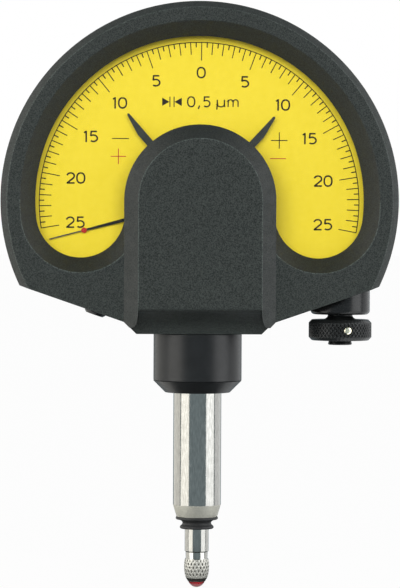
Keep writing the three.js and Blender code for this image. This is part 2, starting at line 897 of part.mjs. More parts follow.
function adjusterBoss() {
  const flange = turnedZ([
    [0, bossBottom],
    [boss.radius - boss.edge, bossBottom],
    [boss.radius, bossBottom + boss.edge],
    [boss.radius, 0],
    [0, 0],
  ]);
  const shank = rodZ(boss.shankRadius, bossBottom, slantHeight(adjusterX, housing.wall));
  const bore = rodZ(adjuster.shaftRadius + runGap, bossBottom - overrun, overrun);
  const roof = aboveUnderside(-seatGap, coverFront, frontPlane).translate([-adjusterX, -adjusterY, 0]);
  return flange.subtract(roof).add(shank).subtract(bore);
}

function adjustingSpindle() {
  const wormBottom = -adjuster.wormLength / 2;
  const pitch = 2 * Math.PI * (adjusterX - adjuster.wormRadius) / carrier.teethPerTurn;
  const turns = Math.floor(adjuster.wormLength / pitch);
  const threadRadius = adjuster.wormRadius - adjuster.threadHalfWidth;
  const helix = new Helix(threadRadius, wormBottom, wormBottom + turns * pitch, turns);
  const shaft = turnedZ([
    [0, knobBottom - knob.endHeight],
    [knob.endRadius, knobBottom - knob.endHeight],
    [knob.endRadius, knobBottom - seatGap],
    [adjuster.shaftRadius, knobBottom - seatGap],
    [adjuster.shaftRadius, adjuster.shaftAbovePivot],
    [0, adjuster.shaftAbovePivot],
  ]);
  return shaft.add(wound(helix, adjuster.threadHalfWidth, threadSides));
}

function knobPinHole(radius, inner, outer) {
  const rod = rodY(radius, -outer, -inner, smallSteps);
  return rod.rotate([0, 0, knob.pinAngle]).translate([0, 0, knobBottom + knob.pinLift]);
}

function adjustingKnob() {
  const bore = rodZ(adjuster.shaftRadius + seatGap, knobBottom - overrun, bossBottom + overrun);
  const body = turnedZ([
    [0, knobBottom],
    [knob.radius - knob.chamfer, knobBottom],
    [knob.radius, knobBottom + knob.chamfer],
    [knob.radius, knobTop - knob.chamfer],
    [knob.radius - knob.chamfer, knobTop],
    [knob.flareRadius, knobTop],
    [knob.neckRadius, knobTop + knob.neckHeight * knob.flareShare],
    [knob.neckRadius, bossBottom - runGap],
    [0, bossBottom - runGap],
  ], houseSteps / 2);
  return body.subtract(bore).subtract(knobPinHole(knob.pinRadius + seatGap, 0, knob.radius + overrun));
}

function knobPin() {
  return knobPinHole(knob.pinRadius, adjuster.shaftRadius + seatGap, knob.radius + knob.pinCrown);
}

function releasePlugBody() {
  const body = turnedZ([
    [0, -releasePlug.standout],
    [releasePlug.radius - releasePlug.chamfer, -releasePlug.standout],
    [releasePlug.radius, releasePlug.chamfer - releasePlug.standout],
    [releasePlug.radius, -seatGap],
    [releasePlug.shankRadius, -seatGap],
    [releasePlug.shankRadius, releasePlug.shankLength],
    [0, releasePlug.shankLength],
  ]);
  return body;
}

function stemCollar() {
  const boreTop = housingBottom + collar.shankLength + overrun;
  const bore = rodZ(stem.shankRadius + seatGap, stemTop - overrun, boreTop, stemSteps);
  const seatTop = stemTop + collar.seatDepth + seatGap;
  const seat = rodZ(stem.radius + seatGap, stemTop - overrun, seatTop, stemSteps);
  return turnedZ([
    [0, stemTop],
    [collar.footRadius, stemTop],
    [collar.radius, stemTop + collar.chamferHeight],
    [collar.radius, housingBottom - seatGap],
    [collar.shankRadius, housingBottom - seatGap],
    [collar.shankRadius, housingBottom + collar.shankLength],
    [0, housingBottom + collar.shankLength],
  ], stemSteps).subtract(bore).subtract(seat);
}

function mountingStem() {
  const bore = rodZ(stem.boreRadius, noseEnd - overrun, stemTubeTop + overrun, stemSteps);
  return turnedZ([
    [0, noseEnd],
    [stem.noseRadius, noseEnd],
    [stem.radius, -stemTop],
    [stem.radius, stemTop + collar.seatDepth],
    [stem.shankRadius, stemTop + collar.seatDepth],
    [stem.shankRadius, stemTubeTop],
    [0, stemTubeTop],
  ], stemSteps).subtract(bore);
}

function spindleBellows() {
  const top = noseEnd - seatGap;
  const bottom = noseEnd - bellows.height;
  const inner = spindle.radius + runGap;
  const fold = bellows.flangeHeight;
  return turnedZ([
    [inner, bottom],
    [bellows.neckRadius, bottom],
    [bellows.lipRadius, bottom + fold / 2],
    [bellows.lipRadius, bottom + fold],
    [bellows.neckRadius, bottom + fold * 2],
    [bellows.neckRadius, top - fold * 2],
    [bellows.flangeRadius, top - fold],
    [bellows.flangeRadius, top],
    [inner, top],
    [inner, bottom],
  ]);
}

function spindleBody() {
  const holeTop = spindleEnd + contact.studLength + clearGap;
  const hole = rodZ(contact.studRadius + seatGap, spindleEnd - overrun, holeTop);
  return turnedZ([
    [0, spindleEnd],
    [spindle.radius - spindle.chamfer, spindleEnd],
    [spindle.radius, spindleEnd + spindle.chamfer],
    [spindle.radius, spindleShoulder],
    [spindle.neckRadius, spindleShoulder],
    [spindle.neckRadius, stemTubeTop + stopRing.thickness + 2 * seatGap],
    [spindle.headRadius, stemTubeTop + stopRing.thickness + 2 * seatGap],
    [spindle.headRadius, headTop],
    [0, headTop],
  ]).subtract(hole);
}

const contactTop = spindleEnd - seatGap;
const knurlTop = contactTop - contact.plainHeight;
const taperTop = knurlTop - contact.knurlHeight;
const bandTop = taperTop - contact.taperHeight;
const contactEnd = bandTop - contact.bandHeight;
const ballCentre = contactEnd - contact.ballStandout + contact.ballRadius;

function contactPoint() {
  const socket = solid(new THREE.SphereGeometry(contact.ballRadius + seatGap, ballSteps, ballSteps / 2));
  return turnedZ([
    [0, contactEnd],
    [contact.endRadius, contactEnd],
    [contact.bandRadius, bandTop],
    [contact.knurlRadius, taperTop],
    [contact.knurlRadius, knurlTop],
    [contact.plainRadius, knurlTop],
    [contact.plainRadius, contactTop],
    [contact.studRadius, contactTop],
    [contact.studRadius, contactTop + contact.studLength],
    [0, contactTop + contact.studLength],
  ]).subtract(socket.translate([0, 0, ballCentre]));
}

function contactBall() {
  const ball = solid(new THREE.SphereGeometry(contact.ballRadius, ballSteps, ballSteps / 2));
  return ball.translate([0, 0, ballCentre]);
}

function ballCageBody() {
  const half = ballCage.length / 2;
  const middle = (ballCage.innerRadius + ballCage.outerRadius) / 2;
  const ball = solid(new THREE.IcosahedronGeometry(ballCage.ballRadius, ballDetail));
  let body = tubeZ(ballCage.innerRadius, ballCage.outerRadius, -half, half);
  for (let ring = 0; ring < ballCage.ballRings; ring += 1) {
    const height = -half + ballCage.length * (ring + 0.5) / ballCage.ballRings;
    for (let i = 0; i < ballCage.ballsPerRing; i += 1) {
      const place = polar(middle, (i + ring / 2) * 360 / ballCage.ballsPerRing);
      body = body.add(ball.translate([place.x, place.y, height]));
    }
  }
  return body;
}

function guideBushBody() {
  return tubeZ(
    spindle.neckRadius + runGap,
    stem.boreRadius - seatGap,
    stemTubeTop - guideBush.length,
    stemTubeTop,
    stemSteps,
  );
}

function stopRingBody() {
  const bottom = stemTubeTop + seatGap;
  return tubeZ(spindle.neckRadius + seatGap, stopRing.radius, bottom, bottom + stopRing.thickness);
}

function driveCollarBody() {
  const top = driveCollarBottom + driveCollar.thickness;
  return tubeZ(spindle.headRadius + seatGap, driveCollar.radius, driveCollarBottom, top);
}

function forceSpringBody() {
  const bottom = spindleShoulder + forceSpring.wireRadius + seatGap;
  const top = stemTubeTop - guideBush.length - forceSpring.wireRadius - seatGap;
  const helix = new Helix(forceSpring.radius, bottom, top, forceSpring.turns);
  return wound(helix, forceSpring.wireRadius, wireSides);
}

function at(body, place) {
  return body.translate([place.x, 0, place.y]);
}

function basePlate() {
  const inset = housing.wall + plates.edgeGap;
  let body = rodY(housing.radius - inset, baseFront, baseRear, houseSteps).intersect(
    aboveFloor(inset, plates.edgeGap, baseRear + overrun, baseFront - overrun),
  );
  const registerFront = dialRear + clearGap;
  const registerRadius = carrier.boreRadius - runGap;
  const registerInner = registerRadius - carrier.registerWall;
  body = body.add(ringY(registerInner, registerRadius, registerFront, baseFront + seatGap, houseSteps));
  const bearingBottom = adjuster.shaftAbovePivot - adjuster.bearingDrop;
  const left = adjusterX - adjuster.bearingHalfWidth;
  const right = adjusterX + adjuster.bearingHalfWidth;
  const bearingShape = rectangle(left, right, bearingBottom, bearingBottom + adjuster.bearingHeight);
  const bearing = plate(bearingShape, baseRear, adjusterY - adjuster.wormRadius);
  const blindTop = adjuster.shaftAbovePivot + runGap;
  const blind = rodZ(adjuster.shaftRadius + runGap, bearingBottom - overrun, blindTop);
  const spindleRoom = rectangle(
    adjusterX - boss.shankRadius - clearGap,
    housing.radius,
    -housing.pivotHeight,
    bearingBottom,
  );
  body = body.subtract(plate(spindleRoom, baseRear + overrun, baseFront - overrun));
  body = body.add(bearing).subtract(blind.translate([adjusterX, adjusterY, 0]));
  const headRoom = rectangle(
    -headWindow.halfWidth,
    headWindow.halfWidth,
    -housing.pivotHeight,
    -headWindow.topDrop,
  );
  body = body.subtract(plate(headRoom, baseRear + overrun, baseFront));
  const bossRoom = rodY(coverScrew.bossRadius + clearGap, baseFront - overrun, baseRear + overrun);
  for (const place of coverScrewPlaces()) body = body.subtract(at(bossRoom, place));
  for (const place of baseScrewPlaces()) {
    const hole = rodY(baseScrew.radius + seatGap, baseFront - overrun, baseRear + overrun, smallSteps);
    body = body.subtract(at(hole, place));
  }
  for (const place of [leverPlace, wheelPlace, pivotPlace]) {
    body = body.subtract(at(jewelSeat(baseFront - overrun, baseRear + overrun), place));
  }
  for (const place of [settingArbor.leftAngle, settingArbor.rightAngle].map(settingPlace)) {
    const hole = rodY(settingArbor.radius + runGap, baseFront - overrun, baseRear + overrun, smallSteps);
    body = body.subtract(at(hole, place));
  }
  return body;
}

function jewelSeat(front, rear) {
  return rodY(jewel.radius + seatGap, front, rear, smallSteps);
}

// The rounded outline round a set of places that turn one way.
function roundedOutline(places, radius) {
  const points = [];
  places.forEach((place, i) => {
    const before = places[(i + places.length - 1) % places.length];
    const after = places[(i + 1) % places.length];
    const start = bearing(before, place) - 90;
    let end = bearing(place, after) - 90;
    while (end < start) end += 360;
    for (let step = 0; step <= curveSteps; step += 1) {
      const corner = polar(radius, start + (end - start) * step / curveSteps);
      points.push(new THREE.Vector2(place.x + corner.x, place.y + corner.y));
    }
  });
  return new THREE.Shape(points);
}

function bridgePlate() {
  const [left, top, right] = pillarPlaces;
  const outline = roundedOutline([left, leverPlace, right, top], plates.cornerRadius);
  let body = plate(outline, bridgeRear, plates.bridgeFront);
  for (const place of [leverPlace, wheelPlace, pivotPlace]) {
    body = body.subtract(at(jewelSeat(plates.bridgeFront - overrun, bridgeRear + overrun), place));
  }
  const holeFront = plates.bridgeFront - overrun;
  const hole = rodY(pillar.screwRadius + seatGap, holeFront, bridgeRear + overrun, smallSteps);
  for (const place of pillarPlaces) body = body.subtract(at(hole, place));
  return body;
}

function pillarBody() {
  const rear = plates.bridgeFront - seatGap;
  const hole = rodY(pillar.screwRadius + seatGap, rear - pillar.screwLength, rear + overrun, smallSteps);
  return rodY(pillar.radius, baseRear + seatGap, rear).subtract(hole);
}

function bridgeScrewBody() {
  const screw = {
    headRadius: pillar.screwHeadRadius,
    headHeight: pillar.screwHeadHeight,
    radius: pillar.screwRadius,
    length: pillar.screwLength + plates.bridgeThickness,
  };
  return slottedScrew(screw, bridgeRear);
}

function jewelRing(front) {
  return ringY(jewel.holeRadius, jewel.radius, front, front + jewel.thickness, smallSteps);
}

function jewelPin() {
  const bottom = lever.armHalfHeight + seatGap;
  const pin = rodZ(jewel.pinRadius, bottom, bottom + jewel.pinHeight, smallSteps);
  return pin.translate([-lever.shortArm, 0, 0]);
}

// An arbor between the plates: thick between the shoulders, thin in the jewels.
function plainArbor() {
  const frontShoulder = baseRear + runGap;
  const rearShoulder = plates.bridgeFront - runGap;
  return turnedY([
    [0, baseRear - jewel.thickness],
    [arbor.pivotRadius, baseRear - jewel.thickness],
    [arbor.pivotRadius, frontShoulder],
    [arbor.radius, frontShoulder],
    [arbor.radius, rearShoulder],
    [arbor.pivotRadius, rearShoulder],
    [arbor.pivotRadius, plates.bridgeFront + jewel.thickness],
    [0, plates.bridgeFront + jewel.thickness],
  ], smallSteps);
}

const leverFront = -lever.thickness / 2;
const leverRear = lever.thickness / 2;
const sectorRear = leverFront - seatGap;
const sectorFront = sectorRear - lever.sectorThickness;

function transferLever() {
  const armEnd = -lever.shortArm - jewel.pinRadius;
  const arm = rectangle(armEnd, 0, -lever.armHalfHeight, lever.armHalfHeight);
  const bore = rodY(arbor.radius + seatGap, leverFront - overrun, leverRear + overrun, smallSteps);
  return rodY(lever.hubRadius, leverFront, leverRear).add(plate(arm, leverRear, leverFront)).subtract(bore);
}

const wheelBearing = bearing(leverPlace, wheelPlace);
const pivotBearing = bearing(wheelPlace, pivotPlace);
const addendum = gear.toothModule * gear.addendumShare;
const dedendum = gear.toothModule * gear.dedendumShare;

function gearSector() {
  const root = sectorPitchRadius - dedendum;
  const tip = sectorPitchRadius + addendum;
  const teeth = pointedTeeth(lever.shownTeeth, lever.teethPerTurn, root, tip, wheelBearing);
  const halfSpread = lever.shownTeeth * 180 / lever.teethPerTurn;
  const rimInner = root - lever.sectorRim;
  const rim = new THREE.Shape([
    ...teeth,
    polar(rimInner, wheelBearing + halfSpread),
    polar(rimInner, wheelBearing),
    polar(rimInner, wheelBearing - halfSpread),
  ]);
  let body = plate(rim, sectorRear, sectorFront).add(rodY(lever.sectorHubRadius, sectorFront, sectorRear));
  const spoke = plate(
    rectangle(0, root - lever.sectorRim / 2, -lever.spokeWidth / 2, lever.spokeWidth / 2),
    sectorRear,
    sectorFront,
  );
  body = body.add(rotatedY(spoke, wheelBearing - halfSpread / 2));
  body = body.add(rotatedY(spoke, wheelBearing + halfSpread / 2));
  return body.subtract(rodY(arbor.radius + seatGap, sectorFront - overrun, sectorRear + overrun, smallSteps));
}

function wheelArbor() {
  const leaves = leafOutline(
    wheel.pinionLeaves,
    pinionPitchRadius - dedendum,
    pinionPitchRadius + addendum,
    wheelBearing + 180 + 180 / wheel.pinionLeaves,
  );
  return plainArbor().add(plate(new THREE.Shape(leaves), leverRear, baseRear + runGap));
}

function intermediateWheel() {
  const root = wheelPitchRadius - dedendum;
  const rimInner = root - wheel.rimWidth;
  const rear = wheel.frontY + wheel.thickness;
  const teeth = pointedTeeth(wheel.teeth, wheel.teeth, root, wheelPitchRadius + addendum, pivotBearing);
  const rim = plate(new THREE.Shape(teeth), rear, wheel.frontY).subtract(
    rodY(rimInner, wheel.frontY - overrun, rear + overrun, turnSteps),
  );
  let body = rim.add(rodY(wheel.hubRadius, wheel.frontY, rear));
  const spokeEnd = rimInner + wheel.rimWidth / 2;
  const spokeShape = rectangle(0, spokeEnd, -wheel.spokeWidth / 2, wheel.spokeWidth / 2);
  const spoke = plate(spokeShape, rear, wheel.frontY);
  for (let i = 0; i < wheel.spokes; i += 1) body = body.add(rotatedY(spoke, i * 360 / wheel.spokes));
  return body.subtract(rodY(arbor.radius + seatGap, wheel.frontY - overrun, rear + overrun, smallSteps));
}

function pointerArborBody() {
  const leaves = leafOutline(
    pointerArbor.leaves,
    leafPitchRadius - dedendum,
    leafPitchRadius + addendum,
    pivotBearing + 180 + 180 / pointerArbor.leaves,
  );
  const pinionFront = wheel.frontY + wheel.thickness / 2 - pointerArbor.pinionLength / 2;
  const rearShoulder = plates.bridgeFront - runGap;
  const shaft = turnedY([
    [0, pointerFront + pointer.thickness / 2],
    [arbor.pivotRadius, pointerFront + pointer.thickness / 2],
    [arbor.pivotRadius, baseRear + runGap],
    [arbor.radius, baseRear + runGap],
    [arbor.radius, rearShoulder],
    [arbor.pivotRadius, rearShoulder],
    [arbor.pivotRadius, plates.bridgeFront + jewel.thickness],
    [0, plates.bridgeFront + jewel.thickness],
  ], smallSteps);
  return shaft.add(plate(new THREE.Shape(leaves), pinionFront + pointerArbor.pinionLength, pinionFront));
}

function pointerHub() {
  const front = pointerRear + seatGap;
  return ringY(arbor.pivotRadius + seatGap, pointer.hubRadius, front, front + pointer.hubLength, turnSteps);
}

// The pointer lies along +X here: a weighted tail, a tapered arm and a thin needle.
function pointerBody() {
  const beadStart = beadPlace - pointer.beadRadius;
  const half = pointer.armWidth / 2;
  const tipHalf = pointer.armTipWidth / 2;
  const needleHalf = pointer.needleWidth / 2;
  const outline = new THREE.Shape([
    new THREE.Vector2(-pointer.tail, -half),
    new THREE.Vector2(beadStart, -tipHalf),
    new THREE.Vector2(beadStart, -needleHalf),
    new THREE.Vector2(pointerLength, 0),
    new THREE.Vector2(beadStart, needleHalf),
    new THREE.Vector2(beadStart, tipHalf),
    new THREE.Vector2(-pointer.tail, half),
  ]);
  const weight = rodY(pointer.tailRadius, pointerFront, pointerRear).translate([-pointer.tail, 0, 0]);
  const hub = rodY(pointer.hubRadius, pointerFront, pointerRear);
  const bore = rodY(arbor.pivotRadius + seatGap, pointerFront - overrun, pointerRear + overrun, smallSteps);
  const middle = (pointerFront + pointerRear) / 2;
  const beadSeat = rodY(pointer.beadRadius + seatGap, pointerFront - overrun, middle, smallSteps);
  const body = plate(outline, pointerRear, pointerFront).add(weight).add(hub).subtract(bore);
  return body.subtract(beadSeat.translate([beadPlace, 0, 0]));
}

function pointerBead() {
  const middle = (pointerFront + pointerRear) / 2;
  return turnedY([
    [0, pointerFront - pointer.thickness / 2],
    [pointer.beadRadius, pointerFront],
    [pointer.beadRadius, middle - seatGap],
    [0, middle - seatGap],
  ], smallSteps).translate([beadPlace, 0, 0]);
}

// A flat spiral ribbon whose outer end points straight up.
function hairspringBody() {
  const steps = hairspring.turns * hairSteps;
  const outer = [];
  const inner = [];
  for (let i = 0; i <= steps; i += 1) {
    const angle = 90 + i * 360 / hairSteps;
    const radius = hairspring.innerRadius + hairspring.pitch * i / hairSteps;
    outer.push(polar(radius + hairspring.wire / 2, angle));
    inner.push(polar(radius - hairspring.wire / 2, angle));
  }
  const outline = new THREE.Shape([...outer, ...inner.reverse()]);
  return plate(outline, hairspring.frontY + hairspring.height, hairspring.frontY);
}

function colletBody() {
  const front = hairspring.frontY + (hairspring.height - collet.height) / 2;
  return ringY(arbor.radius + seatGap, collet.radius, front, front + collet.height, smallSteps);
}

function studBody() {
  const radius = hairspring.innerRadius + hairspring.pitch * hairspring.turns + hairspring.wire / 2;
  const place = new THREE.Vector2(0, radius + stud.radius + seatGap);
  return at(rodY(stud.radius, hairspring.frontY, plates.bridgeFront - seatGap, smallSteps), place);
}

// Materials
const darkCoat = { color: 0x3c4144, roughness: 0.6, metalness: 0.1 };
const blackSteel = { color: 0x1c1d1f, roughness: 0.45, metalness: 0.5 };
const brightSteel = { color: 0xb9bab6, roughness: 0.25, metalness: 1 };
const greySteel = { color: 0x8d8f90, roughness: 0.35, metalness: 1 };
const brass = { color: 0xb59a55, roughness: 0.35, metalness: 1 };
const ruby = { color: 0x9c1420, roughness: 0.15, metalness: 0 };
const rubber = { color: 0x151515, roughness: 0.8, metalness: 0 };
const dialYellow = { color: 0xf2d53c, roughness: 0.6, metalness: 0 };
const glass = { color: 0xe8eef0, roughness: 0.05, metalness: 0 };
const redPaint = { color: 0xc62f22, roughness: 0.4, metalness: 0 };
const blackPaint = { color: 0x121212, roughness: 0.5, metalness: 0 };

const part = new THREE.Group();
const movement = new THREE.Group();
movement.position.z = pivotZ;
part.add(movement);

function place(parent, name, body, finish, x = 0, y = 0, z = 0) {
  const mesh = new THREE.Mesh(geometryOf(body), new THREE.MeshStandardMaterial(finish));
  mesh.name = name;
  mesh.position.set(x, y, z);
  parent.add(mesh);
  return mesh;
}

// Case
place(movement, "front_housing", frontHousing(), darkCoat);
place(movement, "rear_cover", rearCover(), darkCoat);
coverScrewPlaces().forEach((spot, i) => {
  place(movement, `cover_screw_${i + 1}`, coverScrewBody(), blackSteel, spot.x, 0, spot.y);
});
place(movement, "window_pane", windowPane(), glass);

// Stem and spindle
place(part, "stem_collar", stemCollar(), blackSteel);
place(part, "mounting_stem", mountingStem(), brightSteel);
place(part, "spindle_bellows", spindleBellows(), rubber);
place(part, "spindle", spindleBody(), brightSteel);
place(part, "contact_point", contactPoint(), brightSteel);
place(part, "contact_ball", contactBall(), ruby);
place(part, "ball_cage", ballCageBody(), brass);
place(part, "guide_bush", guideBushBody(), brass);
place(part, "stop_ring", stopRingBody(), greySteel);
place(part, "drive_collar", driveCollarBody(), greySteel);
place(part, "measuring_force_spring", forceSpringBody(), greySteel);

// Movement frame
place(movement, "base_plate", basePlate(), brass);
place(movement, "bridge_plate", bridgePlate(), brass);
pillarPlaces.forEach((spot, i) => {
  place(movement, `pillar_${i + 1}`, pillarBody(), brass, spot.x, 0, spot.y);
  place(movement, `bridge_screw_${i + 1}`, bridgeScrewBody(), greySteel, spot.x, 0, spot.y);
});
baseScrewPlaces().forEach((spot, i) => {
  place(movement, `base_screw_${i + 1}`, slottedScrew(baseScrew, baseRear), greySteel, spot.x, 0, spot.y);
});
const jewelNames = [["lever", leverPlace], ["wheel", wheelPlace], ["pointer", pivotPlace]];
for (const [name, spot] of jewelNames) {
  place(movement, `jewel_${name}_front`, jewelRing(baseRear - jewel.thickness), ruby, spot.x, 0, spot.y);
  place(movement, `jewel_${name}_rear`, jewelRing(plates.bridgeFront), ruby, spot.x, 0, spot.y);
}

// Lever, wheel and pointer
place(movement, "lever_arbor", plainArbor(), greySteel, leverPlace.x, 0, leverPlace.y);
place(movement, "transfer_lever", transferLever(), greySteel, leverPlace.x, 0, leverPlace.y);
place(movement, "gear_sector", gearSector(), brass, leverPlace.x, 0, leverPlace.y);
place(movement, "jewel_contact", jewelPin(), ruby, leverPlace.x, 0, leverPlace.y);
place(movement, "wheel_arbor", wheelArbor(), greySteel, wheelPlace.x, 0, wheelPlace.y);
place(movement, "intermediate_wheel", intermediateWheel(), brass, wheelPlace.x, 0, wheelPlace.y);
place(movement, "pointer_arbor", pointerArborBody(), greySteel);
const hand = new THREE.Group();
hand.rotation.y = -radians(pointer.restAngle);
movement.add(hand);
place(hand, "pointer_hub", pointerHub(), brass);
place(hand, "pointer", pointerBody(), blackPaint);
place(hand, "pointer_bead", pointerBead(), redPaint);
place(movement, "hairspring", hairspringBody(), greySteel);
place(movement, "hairspring_collet", colletBody(), brass);
place(movement, "hairspring_stud", studBody(), greySteel);

// Dial, markers and fine adjustment
place(movement, "dial_plate", dialPlate(), dialYellow);
place(movement, "dial_carrier", dialCarrier(), brass);
place(movement, "marker_left", markerLeft(), darkCoat);
place(movement, "marker_right", markerRight(), darkCoat);
place(movement, "marker_retainer", markerRetainer(), greySteel);
const leftSetting = settingPlace(settingArbor.leftAngle);
const rightSetting = settingPlace(settingArbor.rightAngle);
place(
  movement,
  "setting_arbor_left",
  settingArborBody(settingArbor.leftAngle, markerFront),
  greySteel,
  leftSetting.x,
  0,
  leftSetting.y,
);
place(
  movement,
  "setting_arbor_right",
  settingArborBody(settingArbor.rightAngle, rightHubFront),
  greySteel,
  rightSetting.x,
  0,
  rightSetting.y,
);
const adjusterGroup = new THREE.Group();
adjusterGroup.position.set(adjusterX, adjusterY, 0);
movement.add(adjusterGroup);
place(adjusterGroup, "adjuster_boss", adjusterBoss(), blackSteel);
place(adjusterGroup, "adjusting_spindle", adjustingSpindle(), blackSteel);
place(adjusterGroup, "adjusting_knob", adjustingKnob(), blackSteel);
place(adjusterGroup, "knob_pin", knobPin(), brass);
const plugGroup = new THREE.Group();
plugGroup.position.set(plugX, 0, slantHeight(-plugX, 0));
plugGroup.rotation.y = radians(housing.slantAngle);
movement.add(plugGroup);
place(plugGroup, "release_plug", releasePlugBody(), blackSteel);

export default part;
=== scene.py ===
"""The looks of a dial comparator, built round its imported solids. Lengths are in millimetres
until a mesh is made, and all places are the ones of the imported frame."""

import math

import bmesh
import bpy
from mathutils import Matrix, Vector


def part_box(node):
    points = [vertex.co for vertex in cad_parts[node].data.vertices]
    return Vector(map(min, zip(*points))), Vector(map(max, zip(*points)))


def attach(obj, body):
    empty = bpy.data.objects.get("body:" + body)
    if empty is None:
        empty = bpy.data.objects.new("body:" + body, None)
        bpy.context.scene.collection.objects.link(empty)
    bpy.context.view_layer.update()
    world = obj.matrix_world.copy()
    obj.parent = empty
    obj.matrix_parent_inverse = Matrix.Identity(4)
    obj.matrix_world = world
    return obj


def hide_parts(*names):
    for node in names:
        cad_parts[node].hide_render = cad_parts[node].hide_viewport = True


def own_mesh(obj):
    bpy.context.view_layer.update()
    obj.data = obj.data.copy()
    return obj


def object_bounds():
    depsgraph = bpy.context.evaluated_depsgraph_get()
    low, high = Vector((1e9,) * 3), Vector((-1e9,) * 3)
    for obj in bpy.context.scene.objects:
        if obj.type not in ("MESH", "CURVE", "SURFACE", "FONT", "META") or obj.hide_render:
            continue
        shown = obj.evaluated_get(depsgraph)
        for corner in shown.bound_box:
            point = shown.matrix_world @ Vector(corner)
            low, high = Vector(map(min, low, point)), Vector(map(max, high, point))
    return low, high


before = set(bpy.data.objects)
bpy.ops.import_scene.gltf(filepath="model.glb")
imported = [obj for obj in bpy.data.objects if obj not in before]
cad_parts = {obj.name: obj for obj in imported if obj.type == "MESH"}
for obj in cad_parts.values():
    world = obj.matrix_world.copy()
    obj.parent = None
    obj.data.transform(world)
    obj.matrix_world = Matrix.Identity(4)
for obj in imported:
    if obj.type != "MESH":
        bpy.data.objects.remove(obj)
cad_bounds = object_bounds()

MM = 0.001
PIVOT = 41.2
HOUSE_STEPS = 240
ROUND_STEPS = 128
FINE_STEPS = 96
MIDDLE_STEPS = 64
SMALL_STEPS = 48

# The housing's sizes and places
RADIUS = 32.6
FRONT = -11.0
HUMP_FACE = -12.6
WINDOW_EDGE = -8.2
PANE_FRONT = -7.9
COVER_FRONT = 10.5
COVER_REAR = 12.0
PIVOT_HEIGHT = 21.95
TRUNK_HALF = 12.4
CORNER_CUT = 2.1
SLANT = math.radians(19)
WALL = 2.0
DIAL_FRONT = -5.6
FOOT = PIVOT - PIVOT_HEIGHT
SCREW_REACH = 28.6
SCREW_ANGLES = (48, 132, 204, -24)
SETTING_PLACES = ((-6.9639, 36.5028), (-4.2, 33.9254))

# The adjuster's axis, the boss's lower end, the knob pin's height and the plug's place
ADJUSTER = (23.5, -3.5, 0)
BOSS_BOTTOM = 22.535
PIN_HEIGHT = 19.955
PLUG_PLACE = -17


# Camera and studio

WARM = (1.0, 0.985, 0.93)
COOL = (0.97, 0.99, 1.0)
SLATE = (0.83, 1.02, 1.1)
SIDE_RADIANCE = 2.35
SIDE_LIGHT = 0.72
SIDE_AZIMUTH = 64
FRONT_RADIANCE = 6.3
WORLD_LIGHT = 0.12
FLOOR_PAPER = (0.35, 0.35, 0.35, 1)
FLOOR_GLOW = 0.975
FLOOR_REACH = 6.0
LAMP_REACH = 0.8
LAMP_AIM = (0, 0, 0.035)

# Where the cards that the steel mirrors begin and end, in degrees from the camera's side
FRONT_HALF = 41.5
BOX_END = 86.0
GAP_END = 91.5
REAR_START = 150


def add_camera():
    """The photograph's camera, from the fit of the known sizes to the photograph."""
    place = Vector((-15.519, -500.0, 36.9)) * MM
    yaw, pitch, roll = 0.03174, -0.02235, 0.00477
    sensor, focal_px, long_side = 36, 3002.06, 588
    level = math.cos(pitch)
    ahead = Vector((math.sin(yaw) * level, math.cos(yaw) * level, math.sin(pitch)))
    right = Vector((math.cos(yaw), -math.sin(yaw), 0))
    up = right.cross(ahead)
    right_rolled = right * math.cos(roll) + up * math.sin(roll)
    up_rolled = up * math.cos(roll) - right * math.sin(roll)
    data = bpy.data.cameras.new("camera")
    data.sensor_width = sensor
    data.lens = focal_px * sensor / long_side
    data.clip_start, data.clip_end = 0.01, 20
    camera = bpy.data.objects.new("camera", data)
    turn = Matrix((right_rolled, up_rolled, -ahead)).transposed()
    camera.matrix_world = Matrix.Translation(place) @ turn.to_4x4()
    bpy.context.scene.collection.objects.link(camera)
    bpy.context.scene.camera = camera


def toward(azimuth, reach, height):
    """A place at an azimuth from the camera's side, a distance out and a height."""
    turn = math.radians(azimuth)
    return reach * math.sin(turn), -reach * math.cos(turn), height


def add_softbox(name, azimuth, height, size, radiance, colour):
    """A rectangular lamp turned to the object. Azimuth 0 is the camera's side."""
    place = Vector(toward(azimuth, LAMP_REACH, height))
    data = bpy.data.lights.new(name, "AREA")
    data.shape = "RECTANGLE"
    data.size, data.size_y = size
    data.energy = radiance * 4 * size[0] * size[1]
    data.color = colour
    lamp = bpy.data.objects.new(name, data)
    lamp.location = place
    lamp.rotation_mode = "QUATERNION"
    lamp.rotation_quaternion = (Vector(LAMP_AIM) - place).to_track_quat("-Z", "Y")
    bpy.context.scene.collection.objects.link(lamp)
    return lamp


def new_material(name):
    material = bpy.data.materials.new(name)
    material.use_nodes = True
    return material, material.node_tree


def put(node, **values):
    """The node with some of its inputs set. An underscore in a name stands for a space."""
    for name, value in values.items():
        node.inputs[name.replace("_", " ")].default_value = value
    return node


def background_ray(tree):
    """1 for what the camera, metal and glass see, and 0 for light that falls on the object."""
    path = tree.nodes.new("ShaderNodeLightPath")
    value = path.outputs["Is Camera Ray"]
    for kind in ("Is Glossy Ray", "Is Transmission Ray"):
        either = tree.nodes.new("ShaderNodeMath")
        either.operation = "MAXIMUM"
        tree.links.new(value, either.inputs[0])
        tree.links.new(path.outputs[kind], either.inputs[1])
        value = either.outputs[0]
    return value


